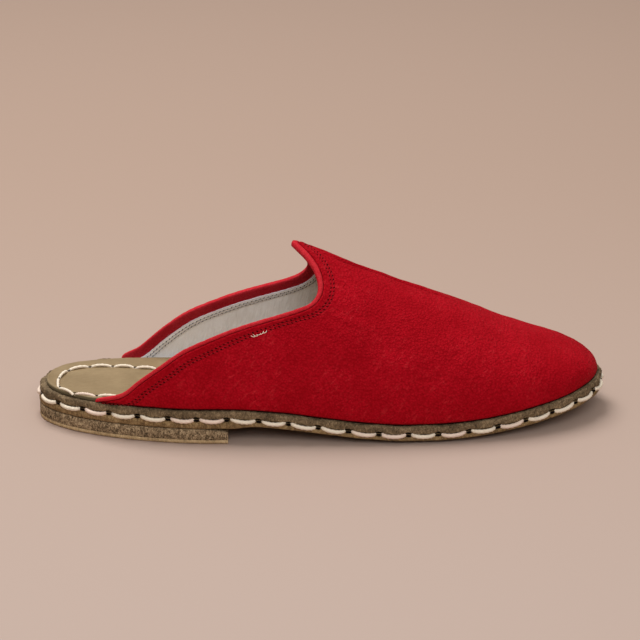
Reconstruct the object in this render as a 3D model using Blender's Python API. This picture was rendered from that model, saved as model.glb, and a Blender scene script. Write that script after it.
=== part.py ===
"""Leather slipper, right shoe: a backless shoe with a hand-sewn sole, empty and standing on its sole.

Metres, +Z up. The toe points along +X, the outer side of the foot faces -Y and the inner side +Y.
Every shape is worked out in the shoe's own frame, which starts at the back of the heel, and the
objects are then placed so that the origin is on the ground under the middle of the footprint.
"""

from collections import namedtuple
from math import pi

import bmesh
import bpy
import numpy as np

# Driving sizes
LENGTH = 0.280
BALL_WIDTH = 0.0895
INSTEP_HEIGHT = 0.0752
HEEL_LENGTH = 0.094
GAP = 0.0003
WELD = 1e-6

# Sole layers
HEEL_TOP_PIECE = 0.0020
HEEL_BLOCK = 0.0052
OUTSOLE = 0.0044
MIDSOLE = 0.0044
INSOLE = 0.0020
MIDSOLE_STEP = 0.0006
SOLE_EDGE_ROUND = 0.0007
HEEL_STEP = 0.0003

# Underside of the sole
TOE_SPRING = 0.0096
TOE_SPRING_CURVE = 1.45
TREAD_FROM = 0.657 * LENGTH
TREAD_TO = 0.714 * LENGTH

# Upper
WALL = 0.0020
UPPER_INSET = 0.0004
UPPER_TOE_INSET = 0.0024
FEATHER_TUCK = 0.0012
FEATHER_RISE = 0.0040
TOE_SWING = 0.0090
CREST_TURN = 0.54 * LENGTH
TOE_BOX_FROM = 0.843 * LENGTH

# Collar binding
BEAD_HEIGHT = 0.0019
BEAD_PROUD = 0.0004
BEAD_GAP = 0.0004
FACING = 0.0006
FACING_DEPTH = 0.0056
FACING_GAP = 0.0007
INSOLE_CLEARANCE = 0.0003
INSOLE_INSET = UPPER_INSET + FEATHER_TUCK + WALL + FACING_GAP + FACING + INSOLE_CLEARANCE

# Number of sections along the sole, the vamp and the collar
SOLE_SECTIONS = 56
HEEL_SECTIONS = 22
VAMP_SECTIONS = 28
COLLAR_STEPS = 32
SECTION_SAMPLES = 72

LATERAL = -1
MEDIAL = 1

# Half widths of the sole from its axis, as shares of the ball width, at shares of the length
Side = namedtuple("Side", "station half_width")
SOLE_SIDES = {
    LATERAL: [Side(0.300, 0.458), Side(0.607, 0.486)],
    MEDIAL: [Side(0.160, 0.357), Side(0.375, 0.364), Side(0.680, 0.514)],
}
# The exponents of the rounded ends, along the shoe and across it
Round = namedtuple("Round", "along across")
HEEL_ROUND = {LATERAL: Round(1.6, 2.0), MEDIAL: Round(2.2, 2.2)}
TOE_ROUND = {LATERAL: Round(2.2, 2.1), MEDIAL: Round(2.4, 2.0)}

# The last over the sole: crest height as a share of the instep height, and how full each side is
Last = namedtuple("Last", "station crest lateral_fullness medial_fullness")
LAST = [
    Last(0.100, 0.610, 1.45, 1.70),
    Last(0.214, 0.800, 1.45, 1.70),
    Last(0.321, 0.945, 1.45, 1.70),
    Last(0.393, 0.998, 1.45, 1.70),
    Last(0.448, 1.000, 1.50, 1.65),
    Last(0.482, 0.978, 1.55, 1.62),
    Last(0.543, 0.905, 1.65, 1.65),
    Last(0.596, 0.836, 1.70, 1.70),
    Last(0.664, 0.744, 1.78, 1.75),
    Last(0.725, 0.648, 1.88, 1.85),
    Last(0.779, 0.546, 1.98, 1.95),
    Last(0.825, 0.458, 2.08, 2.05),
    Last(0.871, 0.386, 2.15, 2.10),
    Last(0.900, 0.360, 2.18, 2.15),
    Last(0.939, 0.332, 2.20, 2.20),
    Last(1.000, 0.318, 2.20, 2.20),
]
TOE_BOX = Round(1.5, 2.0)

# The collar from the back of each quarter to the peak of the tongue. Stations are shares of the
# length, heights are shares of the instep height above the sole, and root is the station where the
# section line that ends at that point leaves the sole.
Collar = namedtuple("Collar", "station height root")
COLLAR = {
    LATERAL: [
        Collar(0.109, 0.039, 0.110),
        Collar(0.149, 0.084, 0.150),
        Collar(0.182, 0.185, 0.184),
        Collar(0.219, 0.283, 0.223),
        Collar(0.259, 0.383, 0.268),
        Collar(0.322, 0.483, 0.336),
        Collar(0.398, 0.582, 0.421),
        Collar(0.450, 0.653, 0.479),
        Collar(0.479, 0.705, 0.514),
        Collar(0.492, 0.774, 0.539),
        Collar(0.489, 0.856, 0.564),
        Collar(0.473, 0.930, 0.593),
        Collar(0.448, 1.000, 0.629),
    ],
    MEDIAL: [
        Collar(0.147, 0.039, 0.148),
        Collar(0.174, 0.084, 0.175),
        Collar(0.200, 0.172, 0.204),
        Collar(0.230, 0.267, 0.236),
        Collar(0.266, 0.359, 0.275),
        Collar(0.320, 0.449, 0.332),
        Collar(0.386, 0.544, 0.407),
        Collar(0.432, 0.613, 0.464),
        Collar(0.459, 0.670, 0.504),
        Collar(0.474, 0.743, 0.532),
        Collar(0.475, 0.823, 0.561),
        Collar(0.466, 0.912, 0.593),
        Collar(0.448, 1.000, 0.629),
    ],
}

# Rows of the upper from the sole to its edge, as shares of each section line. Below 1 the lean
# bends a section line so that it meets the throat's edge from inside the leather.
SECTION_LEAN = 0.72
UPPER_ROWS = (0.0, 0.05, 0.14, 0.27, 0.42, 0.57, 0.70, 0.80, 0.88, 0.94, 1.0)

Finish = namedtuple("Finish", "colour roughness")
FINISHES = {
    "red_nubuck": Finish((0.50, 0.008, 0.012, 1.0), 0.75),
    "red_edge": Finish((0.36, 0.006, 0.010, 1.0), 0.65),
    "sole_leather": Finish((0.20, 0.14, 0.085, 1.0), 0.80),
    "midsole_leather": Finish((0.13, 0.10, 0.065, 1.0), 0.85),
    "footbed_leather": Finish((0.34, 0.26, 0.15, 1.0), 0.55),
    "heel_leather": Finish((0.15, 0.11, 0.07, 1.0), 0.80),
    "heel_tread": Finish((0.30, 0.23, 0.15, 1.0), 0.80),
}


def smoothstep(share):
    """0 below 0, 1 above 1 and a soft S between them."""
    share = np.clip(share, 0.0, 1.0)
    return share * share * (3.0 - 2.0 * share)


def through(stations, values, where):
    """A smooth curve through a table's rows, with the rows' own mean slopes."""
    stations = np.asarray(stations, float)
    values = np.asarray(values, float)
    slopes = np.gradient(values, stations)
    row = np.clip(np.searchsorted(stations, where) - 1, 0, len(stations) - 2)
    span = stations[row + 1] - stations[row]
    s = np.clip((where - stations[row]) / span, 0.0, 1.0)
    start = values[row] * (1 + 2 * s) + span * slopes[row] * s
    end = values[row + 1] * (3 - 2 * s) - span * slopes[row + 1] * (1 - s)
    return start * (1 - s) ** 2 + end * s**2


def underside(x):
    """Height of the outsole's lower face: level over the heel, an arch, a flat tread, toe spring."""
    heel = HEEL_TOP_PIECE + HEEL_BLOCK + 2 * GAP
    if x <= TREAD_FROM:
        return heel * (1 - smoothstep((x - HEEL_LENGTH) / (TREAD_FROM - HEEL_LENGTH)))
    share = max(x - TREAD_TO, 0.0) / (LENGTH - TREAD_TO)
    return TOE_SPRING * share**TOE_SPRING_CURVE


def feather_line(x):
    """Height at which the upper and the insole start, just over the midsole."""
    return underside(x) + OUTSOLE + MIDSOLE + 2 * GAP


def side_edge(side, x, inset, toe_inset=None):
    """Where one side of an outline stands off the axis, drawn in by inset, and at the toe by its own."""
    toe_end = LENGTH - (inset if toe_inset is None else toe_inset)
    rows = SOLE_SIDES[side]
    heel_end, ball = rows[0].station * LENGTH, rows[-1].station * LENGTH
    half = rows[0].half_width
    for low, high in zip(rows, rows[1:]):
        share = (x / LENGTH - low.station) / (high.station - low.station)
        half += (high.half_width - low.half_width) * smoothstep(share)
    reach = side * (half * BALL_WIDTH - inset)
    if x < heel_end:
        share = min((heel_end - x) / (heel_end - inset), 1.0)
        curve = HEEL_ROUND[side]
        return reach * (1 - share**curve.along) ** (1 / curve.across)
    if x > ball:
        share = min((x - ball) / (toe_end - ball), 1.0)
        curve = TOE_ROUND[side]
        return TOE_SWING + (reach - TOE_SWING) * (1 - share**curve.along) ** (1 / curve.across)
    return reach


def outline(inset, front=None):
    """The sole's outline drawn in by inset, as its lateral and medial points at the same stations.

    With no front it runs to the toe, and else it is cut straight across there.
    """
    if front is None:
        turn = np.linspace(0.0, pi, SOLE_SECTIONS + 1)
        stations = inset + (LENGTH - 2 * inset) * (1 - np.cos(turn)) / 2
    else:
        turn = np.linspace(0.0, pi / 2, HEEL_SECTIONS + 1)
        stations = inset + (front - 2 * inset) * (1 - np.cos(turn))
    return [[(x, side_edge(side, x, inset)) for x in stations] for side in (LATERAL, MEDIAL)]


def new_object(name, points, faces, finish):
    """One named object with its own material, from points and faces in the shoe's frame.

    A corner that a face names twice is left out, and points in one place are joined.
    """
    shape = bmesh.new()
    corners = [shape.verts.new([float(value) for value in point]) for point in points]
    for face in faces:
        distinct = list(dict.fromkeys(face))
        if len(distinct) > 2:
            shape.faces.new([corners[index] for index in distinct])
    loose = [corner for corner in corners if not corner.link_faces]
    bmesh.ops.delete(shape, geom=loose, context="VERTS")
    bmesh.ops.remove_doubles(shape, verts=shape.verts, dist=WELD)
    bmesh.ops.recalc_face_normals(shape, faces=shape.faces)
    mesh = bpy.data.meshes.new(name)
    shape.to_mesh(mesh)
    shape.free()
    mesh.shade_smooth()
    mesh.set_sharp_from_angle(angle=pi / 5)
    material = bpy.data.materials.new(name + "_" + finish)
    material.use_nodes = True
    shader = material.node_tree.nodes["Principled BSDF"]
    shader.inputs["Base Color"].default_value = FINISHES[finish].colour
    shader.inputs["Roughness"].default_value = FINISHES[finish].roughness
    shader.inputs["Metallic"].default_value = 0.0
    mesh.materials.append(material)
    thing = bpy.data.objects.new(name, mesh)
    bpy.context.scene.collection.objects.link(thing)
    return thing


def plate(name, rings, finish, front=None):
    """A sole layer through rings of (inset, height function), from its lower face to its upper face."""
    points, sides = [], []
    for inset, height in rings:
        rows = []
        for line in outline(inset, front):
            rows.append(list(range(len(points), len(points) + len(line))))
            points += [(x, y, height(x)) for x, y in line]
        lateral, medial = rows
        medial[0] = lateral[0]
        if front is None:
            medial[-1] = lateral[-1]
        sides.append((lateral, medial))
    faces = []
    for low, high in zip(sides, sides[1:]):
        loops = [lateral + medial[::-1] for lateral, medial in (low, high)]
        for i in range(-1, len(loops[0]) - 1):
            faces.append((loops[0][i], loops[0][i + 1], loops[1][i + 1], loops[1][i]))
    for lateral, medial in (sides[0], sides[-1]):
        for i in range(len(lateral) - 1):
            faces.append((lateral[i], lateral[i + 1], medial[i + 1], medial[i]))
    return new_object(name, points, faces, finish)


def layer(name, inset, bottom, thickness, edge, finish, front=None):
    """A sole layer of one thickness whose lower and upper edges are softened."""
    rings = [
        (inset + edge, bottom),
        (inset, lambda x: bottom(x) + edge),
        (inset, lambda x: bottom(x) + thickness - edge),
        (inset + edge, lambda x: bottom(x) + thickness),
    ]
    return plate(name, rings, finish, front)


def build_sole():
    """Outsole, midsole, insole and the two layers of the heel."""
    layer("outsole", 0.0, underside, OUTSOLE, SOLE_EDGE_ROUND, "sole_leather")
    layer("midsole", MIDSOLE_STEP, lambda x: underside(x) + OUTSOLE + GAP, MIDSOLE,
          SOLE_EDGE_ROUND, "midsole_leather")
    layer("insole", INSOLE_INSET, feather_line, INSOLE, SOLE_EDGE_ROUND / 2, "footbed_leather")
    layer("heel_top_piece", HEEL_STEP, lambda x: 0.0, HEEL_TOP_PIECE, SOLE_EDGE_ROUND / 2,
          "heel_tread", HEEL_LENGTH)
    layer("heel_block", HEEL_STEP, lambda x: HEEL_TOP_PIECE + GAP, HEEL_BLOCK,
          SOLE_EDGE_ROUND / 2, "heel_leather", HEEL_LENGTH)


TOE_TIP = LENGTH - UPPER_TOE_INSET


def crest_line(x):
    """Sideways place of the last's crest, which swings to the inner side towards the toe."""
    return TOE_SWING * smoothstep((x - CREST_TURN) / (LENGTH - CREST_TURN))


def last_row(x):
    """Crest height and the two fullness values at one station, from the table of sections."""
    stations = [row.station for row in LAST]
    share = x / LENGTH
    crest = INSTEP_HEIGHT * through(stations, [row.crest for row in LAST], share)
    if x > TOE_BOX_FROM:
        toe = min((x - TOE_BOX_FROM) / (TOE_TIP - TOE_BOX_FROM), 1.0)
        crest *= (1 - toe**TOE_BOX.along) ** (1 / TOE_BOX.across)
    fullness = {
        LATERAL: through(stations, [row.lateral_fullness for row in LAST], share),
        MEDIAL: through(stations, [row.medial_fullness for row in LAST], share),
    }
    return crest, fullness


def section(side, x):
    """One side of the last's section from the sole to the crest: points and their path shares.

    It also gives the share at which the section is widest, just over the sole.
    """
    crest, fullness = last_row(x)
    middle = crest_line(x)
    half = abs(side_edge(side, x, UPPER_INSET, UPPER_TOE_INSET) - middle)
    rise = min(FEATHER_RISE, 0.35 * crest)
    tuck = min(FEATHER_TUCK, 0.3 * half)
    foot = np.linspace(0.0, pi / 2, SECTION_SAMPLES // 6, endpoint=False)
    over = np.linspace(0.0, pi / 2, SECTION_SAMPLES)
    power = 2 / fullness[side]
    out = np.concatenate([half - tuck * (1 - np.sin(foot)), half * np.clip(np.cos(over), 0, 1) ** power])
    up = np.concatenate([rise * (1 - np.cos(foot)), rise + (crest - rise) * np.sin(over) ** power])
    points = np.column_stack([np.full(len(out), x), middle + side * out, feather_line(x) + up])
    steps = np.linalg.norm(np.diff(points, axis=0), axis=1)
    path = np.concatenate([[0.0], np.cumsum(steps)])
    return points, path / path[-1], path[len(foot)] / path[-1]


def on_last(side, x, share):
    """The point of the last at a station and a share of its section line."""
    points, path, _ = section(side, x)
    return np.array([np.interp(share, path, points[:, axis]) for axis in range(3)])


def outward(side, x, share):
    """The last's outward direction. Under its widest line the direction there is used."""
    step, turn = 0.0004, 0.02
    share = max(share, section(side, x)[2])
    before, after = x - step, min(x + step, TOE_TIP - 1e-6)
    if share > 1 - turn / 2:
        along = on_last(side, after, 1.0) - on_last(side, before, 1.0)
        across = on_last(MEDIAL, x, 1 - turn) - on_last(LATERAL, x, 1 - turn)
        direction = np.cross(along, across)
    else:
        along = on_last(side, after, share) - on_last(side, before, share)
        climb = on_last(side, x, min(share + turn, 1.0)) - on_last(side, x, share)
        direction = -side * np.cross(along, climb)
    return direction / np.linalg.norm(direction)


def nearest_share(side, point):
    """The share of the section line at the point's own station that lies nearest to it."""
    points, path, _ = section(side, point[0])
    fine = np.linspace(0.0, 1.0, 8 * SECTION_SAMPLES)
    line = np.column_stack([np.interp(fine, path, points[:, axis]) for axis in range(3)])
    return fine[np.argmin(np.linalg.norm(line - point, axis=1))]


def collar_rows():
    """The collar as stations on the last: (side, x, share, root) from quarter to tongue to quarter."""
    rows = []
    for side in (LATERAL, MEDIAL):
        table = COLLAR[side]
        places = np.linspace(0, len(table) - 1, COLLAR_STEPS + 1)
        index = np.arange(len(table))
        half = []
        for place in places:
            x = LENGTH * through(index, [row.station for row in table], place)
            root = LENGTH * through(index, [row.root for row in table], place)
            height = INSTEP_HEIGHT * through(index, [row.height for row in table], place)
            points, path, _ = section(side, x)
            share = np.interp(feather_line(x) + height, points[:, 2], path)
            half.append((side, x, 1.0 if place == places[-1] else share, root))
        rows += half if side == LATERAL else half[-2::-1]
    return rows


def collar_frames():
    """For each collar row its point and the direction along the last, square to the edge, inwards."""
    rows = collar_rows()
    points = np.array([on_last(side, x, share) for side, x, share, _ in rows])
    along = np.gradient(points, axis=0)
    frames = []
    for (side, x, share, root), point, tangent in zip(rows, points, along):
        normal = outward(side, x, share)
        inwards = np.cross(tangent, normal)
        inwards /= np.linalg.norm(inwards)
        frames.append((side, root, point, inwards))
    return frames


def down_from_edge(side, point, inwards, distance):
    """The last's own point this far from the collar's edge, as (side, x, share)."""
    target = point + inwards * distance
    if abs(target[1] - crest_line(target[0])) < 1e-5:
        return side, target[0], 1.0
    return side, target[0], nearest_share(side, target)


def section_columns():
    """Section lines of the upper: (root station, edge station, edge share) from quarter to toe, by side."""
    edge = BEAD_HEIGHT + BEAD_GAP
    columns = {LATERAL: [], MEDIAL: []}
    for side, root, point, inwards in collar_frames():
        _, x, share = down_from_edge(side, point, inwards, edge)
        columns[side].append((root, x, share))
    peak = columns[LATERAL][-1]
    columns[MEDIAL].append(peak)
    quarter = columns[MEDIAL]
    columns[MEDIAL] = [quarter[-1]] + quarter[:-1]
    columns[MEDIAL].reverse()
    for side in (LATERAL, MEDIAL):
        for step in range(1, VAMP_SECTIONS):
            left = (1 - step / VAMP_SECTIONS) ** 1.7
            root = TOE_TIP - (TOE_TIP - peak[0]) * left
            top = TOE_TIP - (TOE_TIP - peak[1]) * left
            columns[side].append((root, top, 1.0))
    return columns


def build_upper():
    """The upper: the last's own surface and a second one a wall inside it, open below and at the collar."""
    points, faces = [], []
    tip = np.array([TOE_TIP, TOE_SWING, feather_line(TOE_TIP)])
    tips = (tip, tip - np.array([WALL, 0.0, 0.0]))
    for side, columns in section_columns().items():
        grids = ([], [])
        for root, top, edge_share in columns:
            outer, inner = [], []
            for row in UPPER_ROWS:
                x = top + (root - top) * (1 - row) ** SECTION_LEAN
                share = edge_share * row
                point = on_last(side, x, share)
                inside = point - WALL * outward(side, x, share)
                if row == 0.0:
                    inside[2] = feather_line(inside[0])
                outer.append(len(points))
                inner.append(len(points) + 1)
                points += [point, inside]
            grids[0].append(outer)
            grids[1].append(inner)
        ends = (len(points), len(points) + 1)
        points += tips
        for grid, end in zip(grids, ends):
            for low, high in zip(grid, grid[1:]):
                for i in range(len(low) - 1):
                    faces.append((low[i], high[i], high[i + 1], low[i + 1]))
            for i in range(len(grid[-1]) - 1):
                faces.append((grid[-1][i], end, grid[-1][i + 1]))
        outer, inner = grids
        for k in range(len(outer) - 1):
            faces.append((outer[k][0], outer[k + 1][0], inner[k + 1][0], inner[k][0]))
        faces.append((outer[-1][0], ends[0], ends[1], inner[-1][0]))
        for k in range(COLLAR_STEPS):
            faces.append((outer[k][-1], outer[k + 1][-1], inner[k + 1][-1], inner[k][-1]))
        for i in range(len(UPPER_ROWS) - 1):
            faces.append((outer[0][i], outer[0][i + 1], inner[0][i + 1], inner[0][i]))
    return new_object("upper", points, faces, "red_nubuck")


def build_binding():
    """The rolled edge over the upper's rim and the facing strip that hangs inside it, as one strip."""
    inside_near = -(WALL + FACING_GAP)
    inside_far = inside_near - FACING
    middle = (BEAD_HEIGHT + FACING_DEPTH) / 2
    # Corners of the strip's section: distance from the edge, then how far off the last's surface
    corners = (
        (BEAD_HEIGHT, BEAD_PROUD), (0.3 * BEAD_HEIGHT, BEAD_PROUD), (0.0, 0.0), (0.0, inside_near),
        (0.3 * BEAD_HEIGHT, inside_far), (middle, inside_far), (FACING_DEPTH, inside_far),
        (FACING_DEPTH, inside_near), (middle, inside_near), (BEAD_HEIGHT, inside_near),
    )
    points, rings = [], []
    for side, _, point, inwards in collar_frames():
        ring = []
        for distance, offset in corners:
            side, x, share = down_from_edge(side, point, inwards, distance)
            corner = on_last(side, x, share) + offset * outward(side, x, share)
            corner[2] = max(corner[2], feather_line(corner[0]))
            ring.append(len(points))
            points.append(corner)
        rings.append(ring)
    faces = [tuple(rings[0]), tuple(reversed(rings[-1]))]
    for low, high in zip(rings, rings[1:]):
        for i in range(len(corners)):
            after = (i + 1) % len(corners)
            faces.append((low[i], low[after], high[after], high[i]))
    return new_object("collar_binding", points, faces, "red_edge")


def place_on_footprint():
    """Moves every object so that the origin is on the ground under the middle of the footprint."""
    lateral, medial = outline(0.0)
    middle = (min(y for _, y in lateral) + max(y for _, y in medial)) / 2
    for thing in bpy.data.objects:
        thing.location = (-LENGTH / 2, -middle, 0.0)


def main():
    """Clears the scene and builds the slipper."""
    for thing in list(bpy.data.objects):
        bpy.data.objects.remove(thing)
    build_sole()
    build_upper()
    build_binding()
    place_on_footprint()


main()
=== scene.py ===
"""Looks of a leather slipper: a right shoe with a red nubuck upper and a hand-sewn leather sole.

Lengths are in metres. Shapes are worked out in the shoe's own frame, which starts at the back of the
heel with the toe along +X, the outer side of the foot at -Y and the ground at Z 0. Meshes are then
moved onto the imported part, whose origin is on the ground under the middle of the footprint.
"""

import logging
from dataclasses import dataclass, field
from enum import Enum
from math import pi, radians, tau
from typing import Callable, Iterable, Optional, Sequence

import bmesh
import bpy
import numpy as np
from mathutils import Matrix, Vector, kdtree


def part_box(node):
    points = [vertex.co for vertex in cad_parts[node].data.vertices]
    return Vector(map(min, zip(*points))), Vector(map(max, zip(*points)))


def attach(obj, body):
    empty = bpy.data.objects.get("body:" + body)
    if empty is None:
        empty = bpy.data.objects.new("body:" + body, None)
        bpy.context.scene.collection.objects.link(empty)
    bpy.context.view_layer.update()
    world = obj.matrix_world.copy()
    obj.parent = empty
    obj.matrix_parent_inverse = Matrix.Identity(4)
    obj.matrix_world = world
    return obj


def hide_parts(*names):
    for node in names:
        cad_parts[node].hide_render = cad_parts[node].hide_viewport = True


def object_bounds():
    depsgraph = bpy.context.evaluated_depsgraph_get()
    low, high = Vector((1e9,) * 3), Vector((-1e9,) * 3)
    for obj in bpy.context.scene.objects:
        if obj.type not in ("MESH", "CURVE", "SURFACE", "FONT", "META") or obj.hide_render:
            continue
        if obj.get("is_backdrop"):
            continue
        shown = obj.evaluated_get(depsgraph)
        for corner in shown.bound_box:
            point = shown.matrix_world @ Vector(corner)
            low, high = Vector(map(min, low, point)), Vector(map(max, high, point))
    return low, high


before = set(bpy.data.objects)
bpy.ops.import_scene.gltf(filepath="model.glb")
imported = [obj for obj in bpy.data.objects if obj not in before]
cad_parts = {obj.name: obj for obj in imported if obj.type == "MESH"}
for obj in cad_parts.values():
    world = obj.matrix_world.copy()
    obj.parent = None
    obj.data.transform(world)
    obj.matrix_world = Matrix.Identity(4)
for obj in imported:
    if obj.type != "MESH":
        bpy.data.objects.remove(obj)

Colour = tuple[float, float, float]
Array = np.ndarray

MM = 0.001
BODY = "root"
log = logging.getLogger("slipper")


# Node graphs


def operator(operation: str, swapped: bool = False) -> Callable:
    """A Value method that adds one Math node, with the other operand first if swapped."""
    def method(self: "Value", other: "Operand") -> "Value":
        """The node's output."""
        pair = (other, self) if swapped else (self, other)
        return self.graph.add("ShaderNodeMath", {"operation": operation}, dict(enumerate(pair)))["Value"]

    return method


class Value:
    """A node's output in a Python expression, where each operator adds one Math node."""

    def __init__(self, graph: "Graph", socket: bpy.types.NodeSocket) -> None:
        """Keeps the graph that new nodes go to and the socket itself."""
        self.graph = graph
        self.socket = socket

    __add__ = operator("ADD")
    __radd__ = operator("ADD", swapped=True)
    __sub__ = operator("SUBTRACT")
    __rsub__ = operator("SUBTRACT", swapped=True)
    __mul__ = operator("MULTIPLY")
    __rmul__ = operator("MULTIPLY", swapped=True)
    __pow__ = operator("POWER")

    def clamped(self) -> "Value":
        """The value kept from 0 to 1."""
        settings = {"operation": "ADD", "use_clamp": True}
        return self.graph.add("ShaderNodeMath", settings, {0: self, 1: 0.0})["Value"]

    def step(self, low: float, high: float) -> "Value":
        """A soft step.

        Args:
            low: The value at which the step starts, as 0.
            high: The value at which it ends, as 1. It may be the lower of the two.

        Returns:
            The smoothed share of the way from low to high.
        """
        settings = {"interpolation_type": "SMOOTHSTEP", "clamp": True}
        inputs = {"Value": self, "From Min": low, "From Max": high, "To Min": 0.0, "To Max": 1.0}
        return self.graph.add("ShaderNodeMapRange", settings, inputs)["Result"]


Operand = Value | float


class Outputs:
    """A node's outputs by name."""

    def __init__(self, graph: "Graph", node: bpy.types.Node) -> None:
        """Keeps the graph and the node."""
        self.graph = graph
        self.node = node

    def __getitem__(self, name: str) -> Value:
        """The output in use with this name."""
        found = next(socket for socket in self.node.outputs if socket.name == name and socket.enabled)
        return Value(self.graph, found)


class Graph:
    """A node tree that nodes are added to by type, settings and inputs."""

    def __init__(self, tree: bpy.types.NodeTree) -> None:
        """Keeps the tree."""
        self.tree = tree

    def add(self, kind: str, settings: Optional[dict] = None, inputs: Optional[dict] = None) -> Outputs:
        """Adds a node.

        Args:
            kind: The node's type.
            settings: Its own properties, or stops for a ramp, which are set first.
            inputs: Values or links of its sockets, by name or by index.

        Returns:
            The node's outputs.
        """
        node = self.tree.nodes.new(kind)
        for name, value in (settings or {}).items():
            if name == "stops":
                self._set_stops(node.color_ramp, value)
            else:
                setattr(node, name, value)
        for name, value in (inputs or {}).items():
            if isinstance(name, int):
                socket = node.inputs[name]
            else:
                socket = next(one for one in node.inputs if one.name == name and one.enabled)
            if isinstance(value, Value):
                self.tree.links.new(value.socket, socket)
            else:
                socket.default_value = value
        return Outputs(self, node)

    @staticmethod
    def _set_stops(ramp: bpy.types.ColorRamp, stops: Sequence[tuple[float, Colour]]) -> None:
        """Gives a ramp its stops, each a place and a colour."""
        while len(ramp.elements) < len(stops):
            ramp.elements.new(1.0)
        for element, (place, colour) in zip(ramp.elements, stops):
            element.position = place
            element.color = (*colour, 1.0)


class Shader(Graph):
    """A material's graph, with the few textures that the finishes share."""

    def __init__(self, material: bpy.types.Material) -> None:
        """Clears the material's nodes and adds the surface shader."""
        material.use_nodes = True
        material.node_tree.nodes.clear()
        super().__init__(material.node_tree)
        self.surface = self.add("ShaderNodeBsdfPrincipled").node
        output = self.tree.nodes.new("ShaderNodeOutputMaterial")
        self.tree.links.new(self.surface.outputs["BSDF"], output.inputs["Surface"])
        self.place = self.add("ShaderNodeTexCoord")["Object"]

    def stretched(self, scale: tuple[float, float, float], turn: float = 0.0) -> Value:
        """The object's coordinates, turned about Y and then each axis times its own scale.

        Args:
            scale: The scale of each axis.
            turn: The turn in degrees.

        Returns:
            The new coordinates.
        """
        place = self.place
        if turn:
            inputs = {"Vector": place, "Angle": radians(turn)}
            place = self.add("ShaderNodeVectorRotate", {"rotation_type": "Y_AXIS"}, inputs)["Vector"]
        return self.add("ShaderNodeVectorMath", {"operation": "MULTIPLY"}, {0: place, 1: scale})["Vector"]

    def noise(self, size: float, detail: float = 2.0, rough: float = 0.5, warp: float = 0.0,
              place: Optional[Value] = None) -> Value:
        """Cloudy noise from 0 to 1.

        Args:
            size: The width of one cloud.
            detail: How many finer layers it has.
            rough: How strong the finer layers are.
            warp: How far the clouds are pulled about.
            place: Coordinates, if not the object's.

        Returns:
            The noise.
        """
        inputs = {"Vector": place or self.place, "Scale": 1.0 / size, "Detail": detail,
                  "Roughness": rough, "Distortion": warp}
        return self.add("ShaderNodeTexNoise", None, inputs)["Fac"]

    def cells(self, size: float) -> Value:
        """Distance from the middle of rounded cells of about this size."""
        inputs = {"Vector": self.place, "Scale": 1.0 / size}
        return self.add("ShaderNodeTexVoronoi", {"feature": "F1"}, inputs)["Distance"]

    def attribute(self, name: str) -> Value:
        """A value stored on the mesh."""
        return self.add("ShaderNodeAttribute", {"attribute_name": name})["Fac"]

    def ramp(self, value: Value, stops: Sequence[tuple[float, Colour]]) -> Value:
        """The colour at a value between stops."""
        return self.add("ShaderNodeValToRGB", {"stops": stops}, {"Fac": value})["Color"]

    def mix(self, share: Operand, first: Value | Colour, second: Value | Colour) -> Value:
        """A colour between two others."""
        first, second = (one if isinstance(one, Value) else (*one, 1.0) for one in (first, second))
        inputs = {"Factor": share, "A": first, "B": second}
        return self.add("ShaderNodeMix", {"data_type": "RGBA"}, inputs)["Result"]

    def bump(self, height: Value, depth: float, strength: float, under: Optional[Value] = None) -> Value:
        """A bumped normal.

        Args:
            height: Heights from 0 to 1.
            depth: The real height that 1 stands for.
            strength: How much of it is used.
            under: The normal that it is added to.

        Returns:
            The new normal.
        """
        inputs = {"Height": height, "Distance": depth, "Strength": strength}
        if under is not None:
            inputs["Normal"] = under
        return self.add("ShaderNodeBump", None, inputs)["Normal"]

    def set(self, **inputs: Value | float | Colour) -> None:
        """Sets or links the surface's sockets, named in lower case with underscores."""
        sockets = {socket.name.lower().replace(" ", "_"): socket for socket in self.surface.inputs}
        for name, value in inputs.items():
            if isinstance(value, Value):
                self.tree.links.new(value.socket, sockets[name])
            else:
                sockets[name].default_value = (*value, 1.0) if isinstance(value, tuple) else value


# Finishes


@dataclass(frozen=True)
class Finish:
    """A material that is built once and shared."""

    name: str

    def dress(self, shader: Shader) -> None:
        """Builds the nodes of the finish."""
        raise NotImplementedError

    def material(self) -> bpy.types.Material:
        """The Blender material of this finish."""
        found = bpy.data.materials.get(self.name)
        if found is None:
            found = bpy.data.materials.new(self.name)
            self.dress(Shader(found))
        return found


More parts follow.
